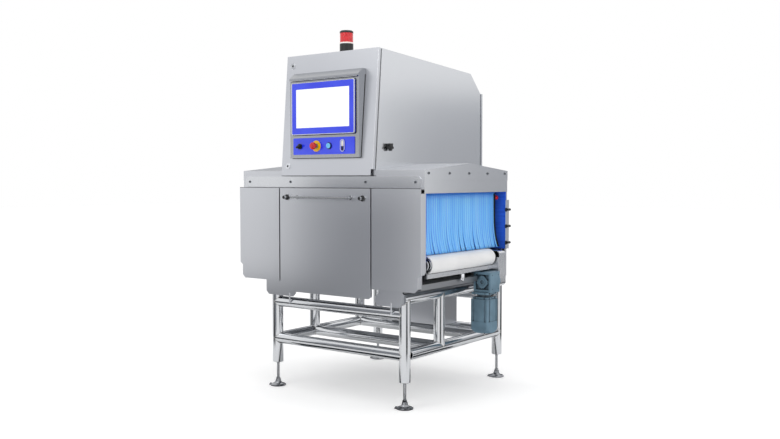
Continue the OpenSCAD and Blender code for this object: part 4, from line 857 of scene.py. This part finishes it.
# %% [markdown]
# The beacon's lens is moulded with level ribs that spread the light. Ribs in the bump would
# leave its outline smooth, so a row of small waves is turned round the middle. Under the
# lens sits a narrow clear band.

# %% Beacon lens
rib_count = 12
rib_depth = 1.2 * mm
wave_steps = 6
band_h = 8 * mm
band_edge = 1 * mm
band_outline = ((-6 * mm, 0), (0.2 * mm, 0), (0.8 * mm, band_edge),
                (0.8 * mm, band_h - band_edge), (0.2 * mm, band_h), (-6 * mm, band_h))

lens_low, lens_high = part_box("beacon_lens")
lens_r = (lens_high[0] - lens_low[0]) / 2
lens_h = lens_high[2] - lens_low[2]
lens_foot = ((lens_low[0] + lens_high[0]) / 2, (lens_low[1] + lens_high[1]) / 2, lens_low[2])
rib_outline = []
for k in range(rib_count * wave_steps + 1):
    wave = (1 - math.cos(2 * math.pi * k / wave_steps)) / 2
    rib_outline.append((lens_r - rib_depth * wave, lens_h * k / (rib_count * wave_steps)))
lens = fit(lathe("beacon_lens_ribs", lens_foot, rib_outline, steps=64), "machine", "lens_red")
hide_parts("beacon_lens")

foot_outline = [(lens_r + out, height) for out, height in band_outline]
# The clear band under the lens has a faint painted glow as well.
fit(lathe("beacon_foot_band", lens_foot, foot_outline, steps=64), "machine", "lens_red",
    glossy_plastic("clear_band_plastic", "#F4EDEC", "#E8DEDD", glow=0.1))

# %% [markdown]
# Round corners come up often on the panel. A bevel modifier could round them one piece at a
# time, but one function gives the outline both to plates and to the lines round them.

# %% Round outlines and plates
def round_outline(x, z, corner, steps=6):
    """Points (x, z) round an upright rectangle with round corners."""
    points = []
    corners = ((x[1] - corner, z[1] - corner, 0), (x[0] + corner, z[1] - corner, 1),
               (x[0] + corner, z[0] + corner, 2), (x[1] - corner, z[0] + corner, 3))
    for centre_x, centre_z, quarter in corners:
        for k in range(steps + 1):
            turn = math.pi / 2 * (quarter + k / steps)
            points.append((centre_x + corner * math.cos(turn), centre_z + corner * math.sin(turn)))
    return points


def add_prism(points, faces, outline, y):
    """Adds a closed bar: an outline of (x, z), drawn from y[0] to y[1]."""
    first, count = len(points), len(outline)
    points += [(px, end, pz) for end in y for px, pz in outline]
    faces.append(tuple(range(first, first + count)))
    faces.append(tuple(reversed(range(first + count, first + 2 * count))))
    for k in range(first, first + count):
        on = first + (k - first + 1) % count
        faces.append((k, on, on + count, k + count))


def rounded_plate(name, x, z, y, corner, depth):
    """An upright plate with round corners, its front at y."""
    points, faces = [], []
    add_prism(points, faces, round_outline(x, z, corner, steps=5), (y, y + depth))
    return closed_piece(name, points, faces)


# %% [markdown]
# The display is a plain pale page just behind the panel's glass. An emission shader alone
# would look like a lamp; the Principled shader also gives the glass, as a clear coat.

# %% Display
page_margin = (31 * mm, 34 * mm)
page_depth = 0.6 * mm
page_corner = 3 * mm
page_t = 0.15 * mm
screen_low, screen_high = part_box("touch_screen")


def lit_page():
    cell_mm = 1.2
    material, tree, shader, place = start_material("lit_display_page", "#F2F3F7", 0.3, {
        "Coat Weight": 0.5, "Coat Roughness": 0.04,
        "Emission Color": linear("#F4F5FF"), "Emission Strength": 0.24})
    cell = add(tree, "ShaderNodeTexNoise", sized(place, cell_mm))
    tint(tree, shader, cell.outputs["Fac"], ("#ECEDF2", "#F2F3F6"))
    return material


page_x = (screen_low[0] + page_margin[0], screen_high[0] - page_margin[0])
page_z = (screen_low[2] + page_margin[1], screen_high[2] - page_margin[1])
page = rounded_plate("display_page", page_x, page_z, screen_low[1] + page_depth, page_corner, page_t)
fit(page, "cabinet_door", "panel_blue", lit_page())

# %% [markdown]
# The levelling feet hang on threaded spindles. A thread is one ridge wound round a rod, so
# it is swept along a helix; the pitch is the real 2 mm of an M16 screw.

# %% Spindle threads
spindle_r = 8 * mm
thread_pitch = 2 * mm
thread_z = (48 * mm, 176 * mm)
turn_steps = 20
root, crest = -0.2 * mm, 0.35 * mm
ridge_half = thread_pitch / 2.2


def thread_ridge(name, x, y):
    """A ridge of three points in section, wound up a spindle."""
    points, faces = [], []
    count = int((thread_z[1] - thread_z[0]) / thread_pitch * turn_steps)
    for k in range(count + 1):
        turn = 2 * math.pi * k / turn_steps
        height = thread_z[0] + thread_pitch * k / turn_steps
        way = Vector((math.cos(turn), math.sin(turn), 0))
        for out, up in ((root, -ridge_half), (crest, 0), (root, ridge_half)):
            points.append(Vector((x, y, height + up)) + way * (spindle_r + out))
    for a in range(0, 3 * count, 3):
        faces.append((a, a + 3, a + 4, a + 1))
        faces.append((a + 1, a + 4, a + 5, a + 2))
    return mesh_piece(name, points, faces, smooth=True)


for end, y in zip(("front", "rear"), leg_y):
    for side, x in zip(("left", "right"), leg_x):
        fit(thread_ridge(f"thread_{end}_{side}", x, y), f"foot_{end}_{side}", "stainless_bright",
            finishes["stainless_tube"])

# %% [markdown]
# Small controls carry most of what the eye checks first. The stop button's head stands on a
# grey sleeve, and the reset button in a black bezel. Both are flat rings with a broken
# front edge; a plain cylinder would show no bright line there.

# %% Rings round the buttons
sleeve_r = (11.2 * mm, 13.5 * mm)
sleeve_len = 9 * mm
bezel_r = (14.3 * mm, 17.5 * mm)
bezel_front, bezel_back = 1.5 * mm, 4 * mm
plate_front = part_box("control_plate")[0][1]
collar_low, collar_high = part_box("estop_collar")
reset_low, reset_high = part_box("reset_button")
control_z = (collar_low[2] + collar_high[2]) / 2
stop_x = (collar_low[0] + collar_high[0]) / 2
reset_x = (reset_low[0] + reset_high[0]) / 2


def flat_ring(name, x, z, y, radii, chamfer=0.8 * mm):
    """A ring between two radii and two y places, with its outer front edge broken."""
    return turned_ring(name, x, z, (
        (radii[0], y[0]), (radii[1] - chamfer, y[0]), (radii[1], y[0] + chamfer),
        (radii[1], y[1]), (radii[0], y[1])))


sleeve = flat_ring("stop_sleeve", stop_x, control_z, (collar_low[1] - sleeve_len, collar_low[1]), sleeve_r)
fit(sleeve, "cabinet_door", "tank_grey",
    sprayed_enamel("grey_sleeve_enamel", "#8D949B", "#7E858C", 0.4))
bezel_y = (plate_front - bezel_front, plate_front + bezel_back)
fit(flat_ring("reset_bezel", reset_x, control_z, bezel_y, bezel_r), "cabinet_door", "black_plastic")

# %% [markdown]
# The service port beside them has a pale oval rim, which is a closed line, and a flap and a
# dark socket, which are thin plates.

# %% Service port
port_x = stop_x + 183 * mm
port_half = (15 * mm, 32 * mm)
port_seam = control_z - 4 * mm
port_corner = 7 * mm
rim_w = 2.6 * mm
rim_out = 0.3 * mm
flap_in, flap_t = 0.4 * mm, 1.5 * mm
socket_in, socket_t = 1.2 * mm, 1 * mm


def oval_points(x, y, z, half, steps=16):
    """An upright oval with straight sides and round ends."""
    reach = half[1] - half[0]
    points = []
    for end, start in ((reach, 0), (-reach, 1)):
        for k in range(steps + 1):
            turn = math.pi * (start + k / steps)
            points.append(Vector((x + half[0] * math.cos(turn), y, z + end + half[0] * math.sin(turn))))
    return points


pale_plastic = glossy_plastic("pale_port_plastic", "#E4E2DA", "#D4D2C8")
port_line = oval_points(port_x, plate_front - rim_out, control_z, [half - rim_w / 2 for half in port_half])
port_rim = round_curve("port_rim", port_line, rim_w / 2, closed=True)
plate_x = (port_x - port_half[0] + rim_w, port_x + port_half[0] - rim_w)
flap_z = (port_seam, control_z + port_half[1] - rim_w)
socket_z = (control_z - port_half[1] + rim_w, port_seam)
flap = rounded_plate("port_flap", plate_x, flap_z, plate_front + flap_in, port_corner, flap_t)
socket = rounded_plate("port_socket", plate_x, socket_z, plate_front + socket_in, port_corner, socket_t)
fit(port_rim, "cabinet_door", "black_plastic", pale_plastic)
fit(flap, "cabinet_door", "black_plastic", pale_plastic)
fit(socket, "cabinet_door", "black_plastic")

# %% [markdown]
# A bright rolled bezel holds the screen's glass, and a soft dark gasket seals the bezel
# against the housing. Both are closed lines with a round section.

# %% Screen bezel and gasket
screen_rim_r = 2.8 * mm
gasket_r = 1.5 * mm
screen_corner = 8 * mm


def screen_line(name, radius, out, y, slot):
    """A line round the screen, so far outside its edge."""
    outline = round_outline((screen_low[0] - out, screen_high[0] + out),
                            (screen_low[2] - out, screen_high[2] + out), screen_corner)
    points = [Vector((px, y, pz)) for px, pz in outline]
    fit(round_curve(name, points, radius, closed=True), "cabinet_door", slot)


screen_line("screen_rim", screen_rim_r, screen_rim_r * 0.5, screen_low[1] + screen_rim_r * 0.6,
            "stainless_bright")
screen_line("screen_gasket", gasket_r, screen_rim_r * 1.5 + gasket_r, screen_high[1] - gasket_r * 0.4,
            "black_rubber")

# %% [markdown]
# The door leans back, so the chrome roses round its locks are made at the origin, tilted,
# and then set in place.

# %% Roses round the locks
door_lean = math.radians(4.83)
door_foot_y, door_foot_z = -0.524, 1.19715
lock_x = -0.291
lock_heights = {"low": 52 * mm, "high": 609 * mm}
rose_r = (11.9 * mm, 16.5 * mm)
rose_t = 3.5 * mm

for name, up in lock_heights.items():
    rose = flat_ring(f"lock_rose_{name}", 0, 0, (-rose_t, 0), rose_r)
    place = (lock_x, door_foot_y + up * math.sin(door_lean), door_foot_z + up * math.cos(door_lean))
    rose.data.transform(Matrix.Translation(place) @ Matrix.Rotation(-door_lean, 4, "X"))
    fit(rose, "cabinet_door", "chrome")

# %% [markdown]
# Thin seals and rims draw the panel's edges. Each is a line with a round section, so it has
# a highlight that a painted line would lack. Most run level or up the door's side.

# %% Level lines and side lines
door_low, door_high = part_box("cabinet_door")
side_foot, side_head = 36 * mm, 6 * mm


def level_line(name, x, y, z, radius, body, slot):
    """A level line along X with a round section."""
    points = [Vector((place, y, z)) for place in (x[0], 0, x[1])]
    fit(round_curve(name, points, radius), body, slot)


def side_line(name, x, back, radius, slot):
    """A line up the door's right side, so far behind its face."""
    points = []
    for z in (door_low[2] + side_foot, door_high[2] - side_head):
        points.append(Vector((x, door_low[1] + back + (z - door_low[2]) * math.tan(door_lean), z)))
    fit(round_curve(name, points, radius), "cabinet_door", slot)


print("door depth in mm:", round((door_high[1] - door_low[1]) / mm, 1))

# %% [markdown]
# They run round the housing, along its brow, under the door, along the tunnel's flange and up the door's
# side. The black lines round the housing and under the brow are also painted shade: they stand for the
# shadow lines there. The seals under the door and on the flange stay with the machine when the door opens.

# %% Seals and rims on the cabinet door
housing_low, housing_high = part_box("hmi_housing")
skirt_low, skirt_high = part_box("front_skirt_right")
skirt_end_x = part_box("front_skirt_left")[0][0]
seal_corner = 2 * mm
seal_edge = 1 * mm
seal_out = 0.6 * mm
brow_drop = 31 * mm
brow_end = 8 * mm
lip_in, lip_drop = 5.5 * mm, 46.5 * mm
rim_step = 3.6 * mm

# The seal round the housing is partly painted shade, for the shadow line at the housing's edge.
seal_line = round_outline((housing_low[0] - seal_edge, housing_high[0] + seal_edge),
                          (housing_low[2] - seal_edge, housing_high[2] - brow_drop), seal_corner)
seal_line = [Vector((px, door_foot_y + (pz - door_foot_z) * math.tan(door_lean) - seal_out, pz))
             for px, pz in seal_line]
fit(round_curve("housing_seal_and_shadow_line", seal_line, 1.4 * mm, closed=True), "cabinet_door", "black_rubber")
brow_x = (housing_low[0] + brow_end, housing_high[0] - brow_end)
brow_y, brow_z = housing_low[1] + lip_in, housing_high[2] - lip_drop
# The black line under the brow is partly painted shade, for the brow's shadow line.
level_line("brow_seal_and_shadow_line", brow_x, brow_y, brow_z, 1.1 * mm, "cabinet_door", "black_rubber")
level_line("brow_rim", brow_x, brow_y - rim_step, brow_z + rim_step, 1.7 * mm, "cabinet_door",
           "stainless_bright")
side_line("door_edge_bead", door_high[0] - 1.2 * mm, 1.4 * mm, 1.7 * mm, "stainless_bright")
side_line("door_side_seal", door_high[0] - 0.6 * mm, 21 * mm, 1.5 * mm, "black_rubber")
level_line("door_foot_seal", (door_low[0], door_high[0]), door_low[1] + 3 * mm, door_low[2] - 0.8 * mm,
           1.8 * mm, "machine", "black_rubber")
level_line("flange_seal", (skirt_end_x, skirt_high[0]), skirt_low[1] + 1.2 * mm, skirt_high[2] + 0.6 * mm,
           1.6 * mm, "machine", "black_rubber")

# %% [markdown]
# Under the discharge roller runs a light folded sheet that guides crumbs off the belt. It
# is drawn as a section in millimetres and swept across the belt. An ear at each end reaches
# up to the roller's side plate, and a turned peg hangs below.

# %% Guide sheet under the roller
guide_x, guide_foot = 0.615, 0.676
guide_y = (-0.4735, 0.1735)
guide_t = 1.2 * mm
guide_section = ((0, 23.5), (0, 2.5), (-0.8, 0.8), (-2.5, 0), (-14, 0), (-14, 1.2), (-2.8, 1.2),
                 (-1.5, 2), (-1.2, 3), (-1.2, 23.5))
ear_outline = ((1, 0), (1, 23), (-12, 40), (-30, 40), (-30, 23), (-14, 0))
peg_outline = ((4, -44), (6, -43), (12, -34), (13, -31), (13, -1), (12, 0))
peg_place = (guide_x - 5 * mm, -0.141, guide_foot)


def at_guide(outline, x):
    """An outline in mm as points in metres from the guide's foot."""
    return [(x + dx * mm, guide_foot + dz * mm) for dx, dz in outline]


points, faces = [], []
add_prism(points, faces, at_guide(guide_section, guide_x), guide_y)
for y, outward in zip(guide_y, (-guide_t, guide_t)):
    add_prism(points, faces, at_guide(ear_outline, guide_x - guide_t), (y, y + outward))
fit(closed_piece("guide_sheet", points, faces), "machine", "stainless_bright")
peg = lathe("guide_peg", peg_place, [(r * mm, h * mm) for r, h in peg_outline], steps=40)
fit(peg, "machine", "stainless_bright")

# %% [markdown]
# ## Stage
# The world is white to the camera and in reflections, and weaker where it lights the part,
# so that colours render as they are written. A picture of a room brings its own colours.

# %% World
world_light = 0.85
world = bpy.data.worlds.new("studio")
world.use_nodes = True
sky = world.node_tree
sky.nodes.clear()
rays = add(sky, "ShaderNodeLightPath").outputs
seen = add(sky, "ShaderNodeMath", {0: rays["Is Camera Ray"], 1: rays["Is Glossy Ray"]}, operation="MAXIMUM")
seen = add(sky, "ShaderNodeMath", {0: seen.outputs[0], 1: rays["Is Transmission Ray"]},
           operation="MAXIMUM")
level = add(sky, "ShaderNodeMapRange", {"Value": seen.outputs[0], "To Min": world_light, "To Max": 1})
white = add(sky, "ShaderNodeBackground", {"Color": linear("#FFFFFF"), "Strength": level.outputs["Result"]})
add(sky, "ShaderNodeOutputWorld", {"Surface": white.outputs["Background"]})
bpy.context.scene.world = world
bpy.context.scene.view_settings.view_transform = "Standard"
print("world light away from camera and reflections:", world_light)

# %% [markdown]
# The floor is a matt pale sheet. It would go grey away from the lamps, so a little light is
# added where the camera looks at it. That light doesn't reach the part, and the part's
# shadow stays.

# %% Floor
floor_half = 30
floor_lift = 0.26


def studio_floor():
    speck_mm = 500
    material, tree, shader, place = start_material("studio_floor", "#F4F4F4", 0.9)
    speck = add(tree, "ShaderNodeTexNoise", sized(place, speck_mm))
    tint(tree, shader, speck.outputs["Fac"], ("#F3F3F3", "#F6F6F6"))
    seen_rays = add(tree, "ShaderNodeLightPath").outputs
    lift = add(tree, "ShaderNodeEmission", {"Color": linear("#FFFFFF"), "Strength": floor_lift})
    both = add(tree, "ShaderNodeAddShader", {0: shader.outputs[0], 1: lift.outputs[0]})
    pick = add(tree, "ShaderNodeMixShader", {0: seen_rays["Is Camera Ray"], 1: shader.outputs[0],
                                             2: both.outputs[0]})
    tree.links.new(pick.outputs[0], tree.nodes["Material Output"].inputs["Surface"])
    return material


floor = mesh_piece("floor", [(x * floor_half, y * floor_half, 0) for x, y in
                             ((-1, -1), (1, -1), (1, 1), (-1, 1))], [(0, 1, 2, 3)])
wear(floor, studio_floor())
print("floor in m:", 2 * floor_half)

# %% [markdown]
# Polished steel shows what stands round it. In a white room it has nothing dark to show and
# looks like plastic, so a photographer sets up grey cards. These show in reflections only,
# and run from one shade at the foot to another at the top.

# %% A card and its light
def card_material(name, z, shades):
    """A card's own light: one shade at its foot and one at its top."""
    material, tree, shader, place = start_material(name, "#000000", 1)
    height = add(tree, "ShaderNodeSeparateXYZ", {"Vector": place})
    share = add(tree, "ShaderNodeMapRange", {"Value": height.outputs["Z"], "From Min": z[0],
                                             "From Max": z[1]})
    ramp = add(tree, "ShaderNodeValToRGB", {"Fac": share.outputs["Result"]})
    for element, shade in zip(ramp.color_ramp.elements, shades):
        element.color = linear(shade)
    glow = add(tree, "ShaderNodeEmission", {"Color": ramp.outputs["Color"]})
    tree.links.new(glow.outputs[0], tree.nodes["Material Output"].inputs["Surface"])
    return material


def hidden_card(name, points, faces, z, shades):
    """A card that only reflections see."""
    piece = mesh_piece(name, points, faces)
    wear(piece, card_material(name, z, shades))
    piece.visible_camera = piece.visible_diffuse = piece.visible_shadow = False
    piece.visible_transmission = False
    print(name, "has shades", *shades)


# %% [markdown]
# The cards stand where the machine's flat faces and posts mirror them in the photograph.
# Flat ones serve the flat faces. Bent ones stay at one distance from a round post.

# %% Cards round the part
def card(name, feet, z, shades):
    """An upright card over a line of (x, y) feet."""
    points = [(x, y, height) for height in z for x, y in feet]
    faces = [(k, k + 1, len(feet) + k + 1, len(feet) + k) for k in range(len(feet) - 1)]
    hidden_card(name, points, faces, z, shades)


def directions(turns, steps):
    """Directions in radians between two turns in degrees from +X."""
    return [math.radians(turns[0] + (turns[1] - turns[0]) * k / steps) for k in range(steps + 1)]


def round_card(name, turns, radius, z, shades):
    """An upright card bent round the part."""
    card(name, [(radius * math.cos(t), radius * math.sin(t)) for t in directions(turns, 12)], z, shades)


card("card_front", ((-1.25, -1.74), (-0.15, -1.74)), (0.1, 1.22), ("#8E9094", "#85878C"))
card("card_panel_left", ((-2.4, -2.57), (-2.02, -2.69)), (1.45, 2.1), ("#F4F5F8", "#F2F3F6"))
card("card_panel_right", ((-2.02, -2.69), (-1.3, -2.92)), (1.45, 2.1), ("#E0E1E5", "#EEEFF2"))
card("card_high", ((-2.7, -2.5), (-1.0, -3.0)), (2.1, 2.6), ("#E8E9EC", "#BCBEC3"))
round_card("card_side", (45, 75), 4, (0.3, 2.0), ("#A8A9AC", "#BEC0C4"))
round_card("card_behind", (95, 150), 4, (0.3, 2.6), ("#6C6E72", "#9A9CA0"))

# %% [markdown]
# The tubes near the floor are the brightest mirrors. Five low cards stand close round the
# part, and a dark ring lies on the floor under its right front side.

# %% Low cards and floor ring
low_card_r = 1.95
low_card_z = (0, 0.45)
ring_turns = (-130, 30)
ring_r = (0.6, 0.95)
ring_up = 2 * mm
ring_steps = 24
dark_shades = ("#1C1D1F", "#8A8C8F")
grey_shades = ("#222325", "#909295")
low_cards = (((30, 70), dark_shades), ((100, 130), grey_shades), ((170, 190), grey_shades),
             ((210, 250), dark_shades), ((325, 350), grey_shades))

for number, (turns, shades) in enumerate(low_cards):
    round_card(f"card_low_{number}", turns, low_card_r, low_card_z, shades)
points = [(r * math.cos(t), r * math.sin(t), ring_up)
          for t in directions(ring_turns, ring_steps) for r in ring_r]
faces = [(2 * k, 2 * k + 1, 2 * k + 3, 2 * k + 2) for k in range(ring_steps)]
hidden_card("card_floor", points, faces, (0, 1), ("#303236", "#303236"))

# %% [markdown]
# Three large soft lamps light the part: a key from the front left, a weak fill from the
# right and a top light. Small lamps would leave hard shadows and hot spots on steel. Sizes
# are in metres.

# %% Lamps
def softbox(name, place, aim, size, watts):
    lamp = bpy.data.lights.new(name, "AREA")
    lamp.shape = "RECTANGLE"
    lamp.size = lamp.size_y = size
    lamp.energy = watts
    piece = bpy.data.objects.new(name, lamp)
    piece.location = place
    piece.rotation_euler = (Vector(aim) - Vector(place)).to_track_quat("-Z", "Y").to_euler()
    bpy.context.collection.objects.link(piece)
    print(name, "lamp of", watts, "W")


softbox("key", (-0.6, -4.2, 4.0), (0, 0, 1), 2.2, 40)
softbox("fill", (4.4, -1.2, 2.6), (0, 0, 0.9), 2.4, 15)
softbox("top", (0.2, 0.4, 4.6), (0, 0, 1), 3, 25)

# %% [markdown]
# the two can be compared.
